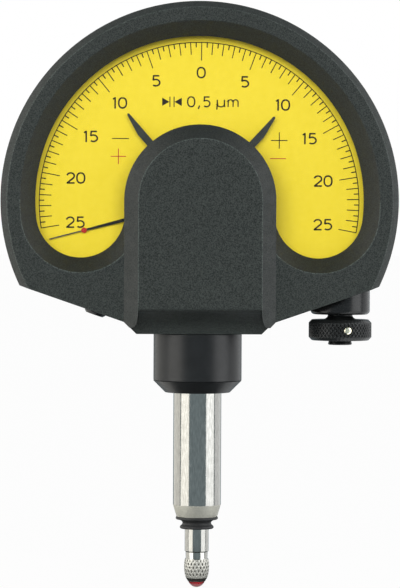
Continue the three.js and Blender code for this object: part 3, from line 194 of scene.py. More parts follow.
def floor_material():
    """Pale paper that is seen white and keeps a part of the object's shadow."""
    material, tree = new_material("floor_paper")
    paper = put(tree.nodes["Principled BSDF"], Base_Color=FLOOR_PAPER, Roughness=0.9)
    glow = put(tree.nodes.new("ShaderNodeEmission"), Color=(1, 1, 1, 1))
    mixer = tree.nodes.new("ShaderNodeMixShader")
    share = spread(tree, background_ray(tree), 0.0, FLOOR_GLOW, 0, 1)
    tree.links.new(share, mixer.inputs["Fac"])
    tree.links.new(paper.outputs[0], mixer.inputs[1])
    tree.links.new(glow.outputs[0], mixer.inputs[2])
    tree.links.new(mixer.outputs[0], tree.nodes["Material Output"].inputs["Surface"])
    return material


def stage_plane(name, corners, material):
    """A flat piece of the stage, from corners in metres."""
    points = [tuple(c / MM for c in corner) for corner in corners]
    plane = mesh_object(name, points, [range(len(corners))])
    paint(plane, material)
    return plane


def add_card(name, corners, colour, radiance):
    """A card that only shows in bright metal and gloss."""
    material, tree = new_material(name)
    glow = put(tree.nodes.new("ShaderNodeEmission"), Color=(*colour, 1), Strength=radiance)
    tree.links.new(glow.outputs[0], tree.nodes["Material Output"].inputs["Surface"])
    card = stage_plane(name, corners, material)
    card.visible_camera = False
    card.visible_diffuse = False
    card.visible_shadow = False
    card.visible_transmission = False


def add_cards(ground):
    """What the bright steel mirrors: a dark front, bright sides with a thin dark gap behind
    them, a pale rear quarter on each side and a dark rear."""
    near, near_front, far, top, lift = 0.026, 0.05, 0.95, 1.0, 0.0004
    dim = 0.1
    for name, start, end, colour, radiance in (
        ("front", -FRONT_HALF, FRONT_HALF, SLATE, 0.4),
        ("left_gap", -GAP_END, -BOX_END, SLATE, 0.25),
        ("right_gap", BOX_END, GAP_END, SLATE, 0.25),
        ("left_side", -BOX_END, -FRONT_HALF, WARM, SIDE_RADIANCE),
        ("right_side", FRONT_HALF, BOX_END, COOL, SIDE_RADIANCE),
        ("left_rear", -REAR_START, -GAP_END, WARM, 1.35),
        ("right_rear", GAP_END, REAR_START, COOL, 1.25),
        ("rear", REAR_START, 360 - REAR_START, SLATE, 0.35),
    ):
        inner = near_front if name == "front" else near
        low = [toward(start, inner, ground + lift), toward(end, inner, ground + lift)]
        out = [toward(end, far, ground + lift), toward(start, far, ground + lift)]
        add_card(name + "_floor_card", low + out, colour, radiance)
        if "side" not in name:
            wall = [toward(start, far, ground), toward(end, far, ground)]
            wall += [toward(end, far, top), toward(start, far, top)]
            add_card(name + "_card", wall, colour, radiance)
    corners = ((-0.9, -0.9), (0.9, -0.9), (0.9, 0.5), (-0.9, 0.5))
    add_card("roof_card", [(x, y, 0.85) for x, y in corners], SLATE, 0.2)
    close = [toward(45 * i, 0.029, ground + 2 * lift) for i in range(8)]
    add_card("near_floor_card", close, SLATE, dim)
    corners = ((-40, 0.02), (40, 0.02), (40, 0.055), (-40, 0.055))
    ahead = [toward(azimuth, reach, ground + 3 * lift) for azimuth, reach in corners]
    add_card("near_front_card", ahead, SLATE, dim)


def add_lamps():
    """Softboxes that only show in metal and gloss, and soft lamps that leave no highlight."""
    for name, azimuth, colour, share in (
        ("left", -SIDE_AZIMUTH, WARM, 1.0),
        ("right", SIDE_AZIMUTH, COOL, 0.95),
    ):
        radiance = SIDE_RADIANCE * share
        box = add_softbox(name + "_softbox", azimuth, 0.3, (0.62, 1.2), radiance, colour)
        box.visible_diffuse = False
        soft = add_softbox(name + "_lamp", azimuth, 0.2, (0.62, 0.6), SIDE_LIGHT, colour)
        soft.visible_glossy = False
    front = add_softbox("front_lamp", -6, 0.235, (0.9, 0.35), FRONT_RADIANCE, (1.0, 1.0, 1.0))
    front.visible_glossy = False


def add_studio():
    world = bpy.data.worlds.new("studio")
    bpy.context.scene.world = world
    world.use_nodes = True
    tree = world.node_tree
    background = put(tree.nodes["Background"], Color=(1, 1, 1, 1))
    strength = spread(tree, background_ray(tree), WORLD_LIGHT, 1.0, 0, 1)
    tree.links.new(strength, background.inputs["Strength"])
    ground = cad_bounds[0].z - 0.0001
    sides = ((-1, -1), (1, -1), (1, 1), (-1, 1))
    corners = [(FLOOR_REACH * x, FLOOR_REACH * y, ground) for x, y in sides]
    stage_plane("floor", corners, floor_material())
    add_cards(ground)
    add_lamps()
    bpy.context.scene.view_settings.view_transform = "Standard"


# Mesh making


def mesh_object(name, points, faces):
    mesh = bpy.data.meshes.new(name)
    mesh.from_pydata([tuple(c * MM for c in p) for p in points], [], faces)
    made = bpy.data.objects.new(name, mesh)
    bpy.context.scene.collection.objects.link(made)
    return made


def paint(body, *materials):
    """Gives the body these materials in place of what it has."""
    body.data.materials.clear()
    for material in materials:
        body.data.materials.append(material)


def outward(body):
    """The body with every face turned outward."""
    work = bmesh.new()
    work.from_mesh(body.data)
    bmesh.ops.recalc_face_normals(work, faces=work.faces)
    work.to_mesh(body.data)
    work.free()
    return body


def rounded(corners, steps=4):
    """A polyline with its corners rounded. Each corner is (a, b) or (a, b, radius)."""
    points = []
    for i, corner in enumerate(corners):
        here = Vector(corner[:2])
        radius = corner[2] if len(corner) > 2 else 0
        if radius == 0 or i in (0, len(corners) - 1):
            points.append(here)
            continue
        before = (Vector(corners[i - 1][:2]) - here).normalized()
        after = (Vector(corners[i + 1][:2]) - here).normalized()
        half = before.angle(after) / 2
        reach = radius / math.tan(half)
        centre = here + (before + after).normalized() * (radius / math.sin(half))
        start = here + before * reach - centre
        turn = math.pi - 2 * half
        sense = 1 if before.cross(after) < 0 else -1
        for step in range(steps + 1):
            points.append(centre + Matrix.Rotation(sense * turn * step / steps, 2) @ start)
    return [tuple(p) for p in points]


def ring_faces(rings, steps, closed=False):
    """Faces between rings of equally many points, with a cap on each open end."""
    faces = []
    for ring in range(rings if closed else rings - 1):
        here, there = ring * steps, (ring + 1) % rings * steps
        for i in range(steps):
            j = (i + 1) % steps
            faces.append((here + i, here + j, there + j, there + i))
    if not closed:
        faces.append(tuple(range(steps)))
        faces.append(tuple(range((rings - 1) * steps, rings * steps)))
    return faces


def turned(name, profile, axis="Z", steps=ROUND_STEPS, centre=(0, 0, 0)):
    """A body turned from (radius, place) pairs. Ends on the axis are closed by flat caps."""
    rings = [p for p in profile if p[0] > 1e-6]
    closed = profile[0] == profile[-1]
    if closed:
        rings = rings[:-1]
    points = []
    for radius, place in rings:
        for i in range(steps):
            angle = math.tau * i / steps
            x, other = radius * math.cos(angle), radius * math.sin(angle)
            spot = (x, other, place) if axis == "Z" else (x, place, other)
            points.append(tuple(a + b for a, b in zip(spot, centre)))
    return outward(mesh_object(name, points, ring_faces(len(rings), steps, closed)))


def lofted(name, loops):
    """A closed body through loops of equally many points."""
    points = [p for loop in loops for p in loop]
    return outward(mesh_object(name, points, ring_faces(len(loops), len(loops[0]))))


def plate(name, outline, front, rear):
    """A flat body from an outline in X and Z."""
    return lofted(name, [[(x, front, z) for x, z in outline], [(x, rear, z) for x, z in outline]])


def crossbar(name, side, left, right):
    """A bar across from an outline in Y and Z."""
    return lofted(name, [[(left, y, z) for y, z in side], [(right, y, z) for y, z in side]])


def applied(body):
    """The body with its modifiers worked into its mesh."""
    bpy.context.view_layer.update()
    graph = bpy.context.evaluated_depsgraph_get()
    mesh = bpy.data.meshes.new_from_object(body.evaluated_get(graph))
    body.modifiers.clear()
    old = body.data
    body.data = mesh
    bpy.data.meshes.remove(old)
    return body


def combine(body, tool, operation):
    modifier = body.modifiers.new("work", "BOOLEAN")
    modifier.operation = operation
    modifier.solver = "EXACT"
    modifier.object = tool
    applied(body)
    bpy.data.objects.remove(tool)
    return body


def cut(body, *tools):
    for tool in tools:
        combine(body, tool, "DIFFERENCE")
    return body


def smooth(body, angle=35):
    for face in body.data.polygons:
        face.use_smooth = True
    body.data.set_sharp_from_angle(angle=math.radians(angle))
    modifier = body.modifiers.new("normals", "WEIGHTED_NORMAL")
    modifier.keep_sharp = True
    modifier.weight = 100
    return body


def bevel(body, width, angle):
    modifier = body.modifiers.new("edge", "BEVEL")
    modifier.width = width * MM
    modifier.segments = 2
    modifier.limit_method = "ANGLE"
    modifier.angle_limit = math.radians(angle)
    return modifier


def softened(body, width, angle):
    """The body with its sharp edges rounded."""
    bevel(body, width, angle)
    return applied(body)


def finish(body, material, rides, slot, *nodes):
    """Gives the body its material, unless it has several, and says what it rides on."""
    if len(body.data.materials) < 2:
        paint(body, material)
    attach(body, rides)
    if nodes:
        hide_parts(*nodes)


# Materials


def principled(name, colour, roughness, metallic=0.0, **sockets):
    material, tree = new_material(name)
    shader = tree.nodes["Principled BSDF"]
    put(shader, Base_Color=(*colour, 1), Roughness=roughness, Metallic=metallic, **sockets)
    return material, tree, shader


def noise(tree, scale, detail=3.0, stretch=(1, 1, 1)):
    """Noise fixed to the object, at a real scale in cycles a metre."""
    where = tree.nodes.new("ShaderNodeTexCoord")
    mapping = put(tree.nodes.new("ShaderNodeMapping"), Scale=stretch)
    tree.links.new(where.outputs["Object"], mapping.inputs["Vector"])
    grain = put(tree.nodes.new("ShaderNodeTexNoise"), Scale=scale, Detail=detail)
    tree.links.new(mapping.outputs[0], grain.inputs["Vector"])
    return grain.outputs["Fac"]


def spread(tree, value, low, high, start=0.3, end=0.7):
    """A value between low and high as the first one goes from start to end."""
    ramp = tree.nodes.new("ShaderNodeMapRange")
    put(ramp, From_Min=start, From_Max=end, To_Min=low, To_Max=high)
    tree.links.new(value, ramp.inputs["Value"])
    return ramp.outputs[0]


def roughen(tree, shader, value, low, high):
    tree.links.new(spread(tree, value, low, high), shader.inputs["Roughness"])


def tint(tree, shader, value, low, high, start=0.3, end=0.7):
    ramp = tree.nodes.new("ShaderNodeValToRGB")
    ramp.color_ramp.elements[0].position = start
    ramp.color_ramp.elements[0].color = (*low, 1)
    ramp.color_ramp.elements[1].position = end
    ramp.color_ramp.elements[1].color = (*high, 1)
    tree.links.new(value, ramp.inputs["Fac"])
    tree.links.new(ramp.outputs["Color"], shader.inputs["Base Color"])


def bump(tree, shader, value, strength, depth):
    node = put(tree.nodes.new("ShaderNodeBump"), Strength=strength, Distance=depth * MM)
    tree.links.new(value, node.inputs["Height"])
    tree.links.new(node.outputs[0], shader.inputs["Normal"])


def times(colour, share):
    return tuple(c * share for c in colour)


def coat_material(name, share, gloss=0.26):
    """Fine-textured dark grey stoving enamel with a grain of a tenth or two of a millimetre. At
    this scale no flat face lies on a plane where the noise is even."""
    low = times((0.0065, 0.0083, 0.0077), share)
    high = times((0.0355, 0.0418, 0.0388), share)
    material, tree, shader = principled(name, high, 0.6, Specular_IOR_Level=gloss)
    grain = noise(tree, 6700, 2)
    tint(tree, shader, grain, low, high, 0.37, 0.63)
    roughen(tree, shader, noise(tree, 900), 0.48, 0.62)
    bump(tree, shader, grain, 0.4, 0.025)
    return material


def black_material(name, roughness, colour=(0.008, 0.0085, 0.009)):
    """Black oxide on turned steel, with fine turning lines and small changes in gloss."""
    material, tree, shader = principled(name, colour, roughness, Specular_IOR_Level=0.3)
    lines = noise(tree, 900, 4, (1, 1, 12))
    roughen(tree, shader, lines, roughness - 0.06, roughness + 0.08)
    tint(tree, shader, noise(tree, 500), times(colour, 0.8), times(colour, 1.25))
    bump(tree, shader, lines, 0.15, 0.01)
    return material


def steel_material(name, colour, roughness, stretch=(1, 1, 20), depth=0.002, metallic=1.0):
    """Ground or turned metal: fine lines along or across it and small changes in gloss."""
    material, tree, shader = principled(name, colour, roughness, metallic)
    lines = noise(tree, 300, 3, stretch)
    roughen(tree, shader, lines, roughness - 0.04, roughness + 0.06)
    tint(tree, shader, lines, times(colour, 0.82), times(colour, 1.12))
    bump(tree, shader, lines, 0.15, depth)
    return material


def enamel_material(name, low, high, roughness):
    """Printed or sprayed colour with a fine orange-peel surface."""
    material, tree, shader = principled(name, high, roughness)
    grain = noise(tree, 900, 3)
    tint(tree, shader, grain, low, high)
    roughen(tree, shader, noise(tree, 300), roughness - 0.05, roughness + 0.05)
    bump(tree, shader, grain, 0.15, 0.006)
    return material


def rubber_material():
    material, tree, shader = principled("rubber", (0.012, 0.012, 0.012), 0.62)
    grain = noise(tree, 3000, 3)
    tint(tree, shader, grain, (0.008, 0.008, 0.008), (0.02, 0.02, 0.021))
    roughen(tree, shader, grain, 0.52, 0.72)
    bump(tree, shader, grain, 0.3, 0.01)
    return material


def ruby_material():
    material, tree, shader = principled(
        "ruby", (0.5, 0.012, 0.02), 0.08, IOR=1.76, Transmission_Weight=0.35
    )
    cloud = noise(tree, 700, 2)
    tint(tree, shader, cloud, (0.38, 0.008, 0.016), (0.58, 0.02, 0.03))
    roughen(tree, shader, cloud, 0.05, 0.12)
    return material


def glass_material():
    material, tree, shader = principled("window", (0.02, 0.022, 0.022), 0.03, Alpha=0.06)
    roughen(tree, shader, noise(tree, 120, 2), 0.02, 0.06)
    material.surface_render_method = "BLENDED"
    return material


COAT = coat_material("housing_coat", 1.0)
# A lighter copy of the coat for the small chamfers: a painted edge highlight that also stands for
# worn paint
COAT_EDGE_HIGHLIGHT = coat_material("worn_coat_edge", 2.0)
# A darker, glossier copy of the coat for the window's cone: a smoother finish, darkened as painted
# shade
COAT_SMOOTH_SHADED = coat_material("smooth_coat", 0.6, 0.33)
COLLAR_BLACK = black_material("collar_black", 0.34)
GLOSS_BLACK = black_material("gloss_black", 0.24)
STEM_STEEL = steel_material("stem_steel", (0.375, 0.37, 0.35), 0.1, (16, 16, 3), 0.0005)
NOSE_STEEL = steel_material("nose_steel", (0.5, 0.49, 0.43), 0.5, (20, 20, 20), 0.01, 0.6)
GREY_STEEL = steel_material("grey_steel", (0.42, 0.43, 0.44), 0.32)
BRASS = steel_material("brass", (0.62, 0.47, 0.2), 0.3, (6, 1, 1))
PIN_BRASS = steel_material("pin_brass", (0.85, 0.8, 0.62), 0.25, (1, 1, 1))
KNURL_STEEL = steel_material("knurl_steel", (0.56, 0.55, 0.5), 0.42, (12, 12, 12), 0.004, 0.5)
# Dark steel for the contact point's dents, as painted shade, and for the ring below them, as a
# painted dark reflection
DENT_SHADE_REFLECTION_STEEL = steel_material("dent_steel", (0.04, 0.037, 0.032), 0.5, (12, 12, 12), 0.004, 0.3)
KNOB_BLACK = black_material("knob_black", 0.32, (0.009, 0.01, 0.01))
# Darker black for the knob's dents: painted shade
KNOB_DENT_SHADE = black_material("knob_dent", 0.5, (0.002, 0.002, 0.002))
MARKER_GREY = enamel_material("marker_grey", (0.022, 0.026, 0.023), (0.038, 0.043, 0.038), 0.5)
RUBY = ruby_material()
RUBBER = rubber_material()
GLASS = glass_material()
YELLOW = enamel_material("dial_yellow", (0.95, 0.745, 0.03), (0.99, 0.785, 0.042), 0.6)
INK = enamel_material("dial_ink", (0.012, 0.007, 0.004), (0.024, 0.014, 0.008), 0.5)
RED_INK = enamel_material("red_ink", (0.5, 0.05, 0.02), (0.6, 0.07, 0.03), 0.5)
POINTER_BLACK = enamel_material("pointer_black", (0.008,) * 3, (0.014,) * 3, 0.4)
NEEDLE_GREY = enamel_material("needle_grey", (0.05, 0.05, 0.045), (0.09, 0.09, 0.08), 0.35)
RED_ENAMEL = enamel_material("red_enamel", (0.5, 0.02, 0.012), (0.6, 0.03, 0.02), 0.25)


# Housing


def slant_height(x, inset=0.0):
    """The height of the slant at a distance from the middle, from the pivot."""
    lift = inset / math.cos(SLANT)
    return CORNER_CUT - PIVOT_HEIGHT + lift + math.tan(SLANT) * (x - TRUNK_HALF)


def underside_outline(inset):
    """The outline above the slants, the cut corners and the flat bottom, from the pivot."""
    far = RADIUS + 3
    bottom = inset - PIVOT_HEIGHT
    shoulder = TRUNK_HALF - inset
    right = [
        (shoulder - CORNER_CUT, bottom),
        (shoulder, bottom + CORNER_CUT),
        (TRUNK_HALF, slant_height(TRUNK_HALF, inset)) if inset else None,
        (far, slant_height(far, inset)),
        (far, far),
    ]
    return mirrored([p for p in right if p])


def mirrored(right):
    """An outline from its right half, measured from the pivot."""
    return [(x, z + PIVOT) for x, z in right + [(-x, z) for x, z in reversed(right)]]


def room_outline():
    """The room inside the slants and above the trunk's solid floor."""
    far = RADIUS + 3
    floor = 5.6 - PIVOT_HEIGHT
    start = TRUNK_HALF + (floor - slant_height(TRUNK_HALF, WALL)) / math.tan(SLANT)
    return mirrored([(start, floor), (far, slant_height(far, WALL)), (far, far)])


def house_disc(name, profile, steps=HOUSE_STEPS):
    return turned(name, profile, "Y", steps, (0, 0, PIVOT))


def hump_loop(radius, depth, bottom):
    """The hump's outline at one depth: up the left side, round the head and down the right."""
    steps = HOUSE_STEPS // 2
    loop = [(-radius, depth, bottom)]
    for i in range(steps + 1):
        angle = math.pi - math.pi * i / steps
        loop.append((radius * math.cos(angle), depth, PIVOT + radius * math.sin(angle)))
    loop.append((radius, depth, bottom))
    return loop


def window_loop(grow, depth):
    """The window's outline grown by a width: a large arc that runs into two round lobes."""
    big, small, tilt = 26.92, 7.27, math.radians(6.2)
    arc_steps, lobe_steps = HOUSE_STEPS // 2, 60
    reach = big - small
    cx, cz = reach * math.cos(tilt), -reach * math.sin(tilt)
    wide, narrow = big + grow, small + grow
    right = []
    for i in range(arc_steps):
        angle = math.pi / 2 - (math.pi / 2 + tilt) * i / arc_steps
        right.append((wide * math.cos(angle), wide * math.sin(angle)))
    for i in range(lobe_steps + 1):
        angle = -tilt - (math.pi - tilt) * i / lobe_steps
        right.append((cx + narrow * math.cos(angle), cz + narrow * math.sin(angle)))
    left = [(-x, z) for x, z in reversed(right[1:])]
    return [(x, depth, z + PIVOT) for x, z in right + left]


def hump_body():
    profile = [
        (TRUNK_HALF, PANE_FRONT), (TRUNK_HALF, FRONT), (10.15, HUMP_FACE + 0.055),
        (9.98, HUMP_FACE), (8, HUMP_FACE),
    ]
    return lofted("hump", [hump_loop(radius, depth, FOOT - 1) for radius, depth in profile])


def hump_recess():
    """The recess under the hump's face, between two cheeks that end on the set back band."""
    band, top, back, cheek, far = FOOT + 1.2, FOOT + 4.55, FRONT + 3.8, 11.1, 14
    lip, edge, hollow = 0.9, 10.07, 0.3
    side = [(HUMP_FACE - 1, top)]
    for i in range(9):
        angle = math.pi / 2 * i / 8
        side.append((HUMP_FACE + lip * (1 - math.cos(angle)), top - lip * math.sin(angle)))
    start, middle = Vector(side[-1]), Vector((back, band + lip))
    end = Vector((back + hollow, FOOT - hollow))
    for i in range(1, 11):
        t = i / 10
        side.append(tuple(start * (1 - t) ** 2 + middle * 2 * t * (1 - t) + end * t**2))
    side += [(back + hollow, FOOT - 2), (HUMP_FACE - 1, FOOT - 2)]
    front = []
    for i in range(13):
        t = i / 12
        x = -edge * (1 - t) ** 2 - 2 * edge * t * (1 - t) - cheek * t**2
        z = top * (1 - t) ** 2 + 2 * band * t * (1 - t) + band * t**2
        front.append((x, z))
    front += [(-far, band), (-far, FOOT - 2)]
    front += [(-x, z) for x, z in reversed(front)]
    return combine(
        crossbar("recess", side, -20, 20),
        plate("recess_front", front, HUMP_FACE - 2, back + 1),
        "INTERSECT",
    )


def window_cut():
    profile = [
        (2.55, FRONT - 1), (2.55, FRONT), (2.38, FRONT + 0.08), (0, WINDOW_EDGE),
        (0, PANE_FRONT + 1),
    ]
    return lofted("window_cut", [window_loop(grow, depth) for grow, depth in profile])


def cover_screw_places():
    angles = [math.radians(a) for a in SCREW_ANGLES]
    return [(SCREW_REACH * math.cos(a), SCREW_REACH * math.sin(a)) for a in angles]


def room(name, radius, front, rear):
    """A hollow of the housing, closed below by the slants and the trunk's floor."""
    body = house_disc(name, [(radius, front), (radius, rear)])
    return combine(body, plate(name + "_floor", room_outline(), front - 2, rear + 2), "INTERSECT")


def front_housing():
    shell = rounded([
        (0, FRONT),
        (31.4, FRONT),
        (31.57, FRONT + 0.108),
        (RADIUS, -9.3, 0.5),
        (RADIUS, COVER_FRONT, 0.15),
        (0, COVER_FRONT),
    ])
    body = house_disc("housing_shell", shell)
    cut(body, window_cut())
    combine(body, hump_body(), "UNION")
    outline = plate("outline", underside_outline(0), HUMP_FACE - 3, COVER_FRONT + 3)
    combine(body, outline, "INTERSECT")
    cut(
        body,
        hump_recess(),
        room("dial_room", 28.6, PANE_FRONT, -1.6),
        room("works_room", 30.6, -2.6, 12),
        turned("collar_bore", [(5.06, FOOT - 1), (5.06, FOOT + 7)]),
        turned("adjuster_bore", [(2.65, FOOT), (2.65, PIVOT)], centre=ADJUSTER),
        tilted(turned("plug_bore", [(1.4, -1), (1.4, 1.8)], steps=MIDDLE_STEPS), PLUG_PLACE),
    )
    combine(body, house_disc("marker_post", [(2.6, -8.9), (2.6, -6.6)], MIDDLE_STEPS), "UNION")
    cut(body, house_disc("stud_hole", [(0.85, -9.9), (0.85, -5.5)], 32))
    housing_skins(body)
    finish(smooth(body, 30), COAT, "case", "housing_coat", "front_housing")


def housing_skins(body):
    """Lighter paint on the small chamfers, for wear and as a painted edge highlight, left off the
    shaded recess and the window's upper edge, and smoother paint on the window's cone, darkened as
    painted shade.
    """
    wear_and_highlight, smooth_shaded = 1, 2
    paint(body, COAT, COAT_EDGE_HIGHLIGHT, COAT_SMOOTH_SHADED)
    for face in body.data.polygons:
        across, depth, height = (c / MM for c in face.center)
        facing = -face.normal.y
        outer = math.hypot(across, height - PIVOT) > 31
        recess = abs(across) < 9.9 and height < FOOT + 5
        beside = min(abs(depth - front - 0.044) for front in (HUMP_FACE, FRONT))
        # The small chamfers get the lighter coat as a painted edge highlight and wear, except in
        # the shaded recess and on the window's upper edge
        if beside < 0.036 and facing < 0.99:
            upper_window = not outer and depth > HUMP_FACE + 1 and height > PIVOT
            face.material_index = 0 if recess or upper_window else wear_and_highlight
        elif HUMP_FACE < depth < WINDOW_EDGE and 0.6 < facing < 0.95:
            # The window's cone gets the darker, glossier coat: painted shade
            face.material_index = 0 if outer else smooth_shaded


def tilted(body, x):
    """Stands a body made on the Z axis square to the left slant at a distance from the middle."""
    place = Vector((x, 0, slant_height(-x) + PIVOT)) * MM
    body.data.transform(Matrix.Translation(place) @ Matrix.Rotation(SLANT, 4, "Y"))
    return body


# Rear cover, its screws and the setting heads


def rear_cover():
    outer = RADIUS - 0.4
    body = house_disc("cover_disc", rounded([
        (0, COVER_FRONT + 0.05),
        (outer, COVER_FRONT + 0.05),
        (outer, COVER_REAR - 0.5, 0.15),
        (outer - 0.5, COVER_REAR, 0.15),
        (0, COVER_REAR),
    ]))
    outline = plate("cover_outline", underside_outline(0.4), COVER_FRONT - 2, COVER_REAR + 2)
    combine(body, outline, "INTERSECT")
    low, high = 9, 13
    for x, z in cover_screw_places():
        place = (x, 0, PIVOT + z)
        hole = turned("screw_hole", [(0.95, low), (0.95, high)], "Y", SMALL_STEPS, place)
        sink = turned("screw_sink", [(1.75, 11.05), (1.75, high)], "Y", MIDDLE_STEPS, place)
        cut(body, hole, sink)
    for x, z in SETTING_PLACES:
        cut(body, turned("setting_hole", [(1.5, low), (1.5, high)], "Y", MIDDLE_STEPS, (x, 0, z)))
    # The bevelled edges get the lighter coat: a painted edge highlight that also stands for worn
    # paint
    paint(body, COAT, COAT_EDGE_HIGHLIGHT)
    bevel(body, 0.12, 32).material = 1
    applied(body)
    finish(smooth(body, 40), COAT, "case", "housing_coat", "rear_cover")


def slotted_head(name, place, turn):
    """A turned head with a dished edge and a screwdriver slot, on the Y axis."""
    x, z = place
    radius, under, slot_width, slot_depth = 1.7, 11.15, 0.45, 0.4
    profile = [(0, under), (radius, under), (radius, COVER_REAR, 0.14), (0, COVER_REAR)]
    body = turned(name, rounded(profile), "Y", FINE_STEPS, (x, 0, z))
    low, high, half = COVER_REAR - slot_depth, COVER_REAR + 1, slot_width / 2
    sides = [(low, -half), (high, -half), (high, half), (low, half)]
    bar = crossbar(name + "_slot", sides, -radius * 2, radius * 2)
    middle = Matrix.Translation(Vector((x, 0, z)) * MM)
    bar.data.transform(middle @ Matrix.Rotation(turn, 4, "Y"))
    cut(body, bar)
    return softened(body, 0.05, 40)


def rear_screws():
    turns = (0.4, 1.2, -0.5, 0.9)
    for i, ((x, z), turn) in enumerate(zip(cover_screw_places(), turns)):
        body = slotted_head(f"rear_screw_{i + 1}", (x, z + PIVOT), turn)
        finish(smooth(body), GLOSS_BLACK, "case", "black_steel", f"cover_screw_{i + 1}")


# Stem, collar and bellows


def stem_collar():
    body = turned("collar", rounded([
        (3.65, 9.9), (4.05, 9.9), (4.05, 9.35), (5.4, 9.35, 0.2), (7.35, 11.3), (7.26, 11.37),
        (7.35, 11.44), (7.35, 19.2, 0.12), (5, 19.2), (5, 24.3), (3.65, 24.3), (3.65, 9.9),
    ], 5))
    finish(smooth(body), COLLAR_BLACK, "case", "black_steel", "stem_collar")


def mounting_stem():
    body = turned("stem", rounded([
        (2.8, -11.4), (3.4, -11.4, 0.06), (4, -9.35, 0.12), (4, 9.85), (3.6, 9.85), (3.6, 23.35),
        (2.8, 23.35), (2.8, -11.4),
    ], 4))
    paint(body, STEM_STEEL, NOSE_STEEL)
    for face in body.data.polygons:
        if face.center.z < -9.4 * MM:
            face.material_index = 1
    finish(smooth(body, 12), STEM_STEEL, "case", "polished_steel", "mounting_stem")


def bellows():
    body = turned("rubber_bellows", rounded([
        (2.1, -13.4), (2.7, -13.4, 0.06), (2.84, -13.24, 0.07), (2.78, -13.0, 0.1),
        (2.46, -12.72, 0.12), (2.38, -12.45, 0.15), (2.5, -12.2, 0.1), (2.78, -12.02, 0.06),
        (2.8, -11.9), (3.42, -11.86, 0.05), (3.52, -11.76, 0.05), (3.52, -11.52, 0.05),
        (3.42, -11.42), (2.1, -11.42), (2.1, -13.4),
    ], 4))
    finish(smooth(body, 40), RUBBER, "case", "rubber", "spindle_bellows")


# Spindle and contact


def force_spring():
    """The coil round the spindle's neck, with close end turns. It is built at one length; the real
    one shortens as the spindle rises.
    """
    low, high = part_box("measuring_force_spring")
    turns, steps, sides = 7, 32, 12
    radius, wire, close = 1.85, 0.2, 0.44
    bottom, top = low.z / MM + wire, high.z / MM - wire
    loops = []
    for i in range(turns * steps + 1):
        turn = i / steps
        if turn < 1:
            height = bottom + close * turn
        elif turn > turns - 1:
            height = top - close * (turns - turn)
        else:
            height = bottom + close + (top - bottom - 2 * close) * (turn - 1) / (turns - 2)
        angle = math.tau * turn
        loop = []
        for j in range(sides):
            round_wire = math.tau * j / sides
            reach, rise = radius + wire * math.cos(round_wire), wire * math.sin(round_wire)
            loop.append((reach * math.cos(angle), reach * math.sin(angle), height + rise))
        loops.append(loop)
    body = lofted("force_spring_coil", loops)
    finish(smooth(body, 50), GREY_STEEL, "case", "grey_steel", "measuring_force_spring")
    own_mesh(body)


def spindle():
    body = turned("spindle_rod", rounded([
        (1.3, -17.25), (1.9, -17.25), (2, -17.14), (2, 11.75), (1.1, 11.75), (1.1, 23.95),
        (0.7, 23.95), (0.7, 29.25), (0.05, 29.25), (0.05, -13.8), (1.3, -13.8), (1.3, -17.25),
    ], 3), steps=FINE_STEPS)
    finish(smooth(body, 20), STEM_STEEL, "measuring_spindle", "polished_steel", "spindle")


def knurled(name, outline, bottom, top, teeth, rows, depth, web, steps, rings, skins):
    """A turned body whose side has rows of dents between crossed helical webs. The second
    material is the one of the dents, darker as painted shade."""
    levels = []
    for i, (radius, place) in enumerate(outline):
        levels.append((radius, place))
        if i + 1 < len(outline):
            after = outline[i + 1]
            if place >= bottom - 1e-6 and after[1] <= top + 1e-6 and after[1] > place:
                wider, higher = after[0] - radius, after[1] - place
                count = max(1, round(rings * higher / (top - bottom)))
                for k in range(1, count):
                    t = k / count
                    levels.append((radius + wider * t, place + higher * t))
    points, sunk = [], []
    for radius, place in levels:
        up = (place - bottom) / (top - bottom)
        edge = max(0.0, min(1.0, min(up, 1 - up) * 10))
        for i in range(steps):
            angle = math.tau * i / steps
            turn = teeth * i / steps
            deep = edge * dent(turn + rows * up, turn - rows * up, web)
            reach = radius - depth * deep
            sunk.append(deep)
            points.append((reach * math.cos(angle), reach * math.sin(angle), place))
    body = mesh_object(name, points, ring_faces(len(levels), steps))
    paint(body, *skins)
    # Faces deep in the dents take the second material: painted shade
    for face in body.data.polygons:
        corners = [sunk[v] for v in face.vertices]
        face.material_index = int(sum(corners) > 0.45 * len(corners))
    return outward(body)


def dent(first, second, web):
    """0 on the crossed webs and 1 in the middle of the dents between them."""
    away = min(abs(turn - round(turn)) * 2 for turn in (first, second))
    return max(0.0, min(1.0, (away - web) / 0.28))


def contact_point():
    """The point with its knurled belly, whose dents are painted dark as shade, a ring below it
    painted dark as a reflection, and a plain neck above it.
    """
    outline = [
        (1.38, -22.26), (1.44, -22.22), (1.5, -22.12), (1.57, -21.98), (1.72, -21.78),
        (1.79, -21.62), (1.88, -21.37), (1.98, -20.98), (2.06, -20.32), (2.09, -19.66),
        (2.06, -19.1), (2.01, -18.68), (1.96, -18.5), (1.86, -18.4), (1.81, -18.3),
        (1.84, -17.36), (1.8, -17.3), (1.25, -17.3),
    ]
    bottom, top, ring, neck = -21.62, -18.5, 1, 2
    body = knurled(
        "contact_body", outline, bottom, top, teeth=20, rows=2.66, depth=0.13, web=0.42,
        steps=240, rings=52, skins=(KNURL_STEEL, DENT_SHADE_REFLECTION_STEEL, STEM_STEEL),
    )
    for face in body.data.polygons:
        height = face.center.z / MM
        if height > top:
            face.material_index = neck
        elif -22.2 < height < bottom - 0.02:
            # The ring below the knurl takes the dark steel: a painted dark reflection
            face.material_index = ring
    cut(body, turned("ball_seat", ball_profile(1.45), steps=FINE_STEPS))
    stud = turned("contact_stud", [(1.2, -17.4), (1.2, -14.3)], steps=SMALL_STEPS)
    combine(body, stud, "UNION")
    finish(smooth(body, 45), KNURL_STEEL, "measuring_spindle", "polished_steel", "contact_point")


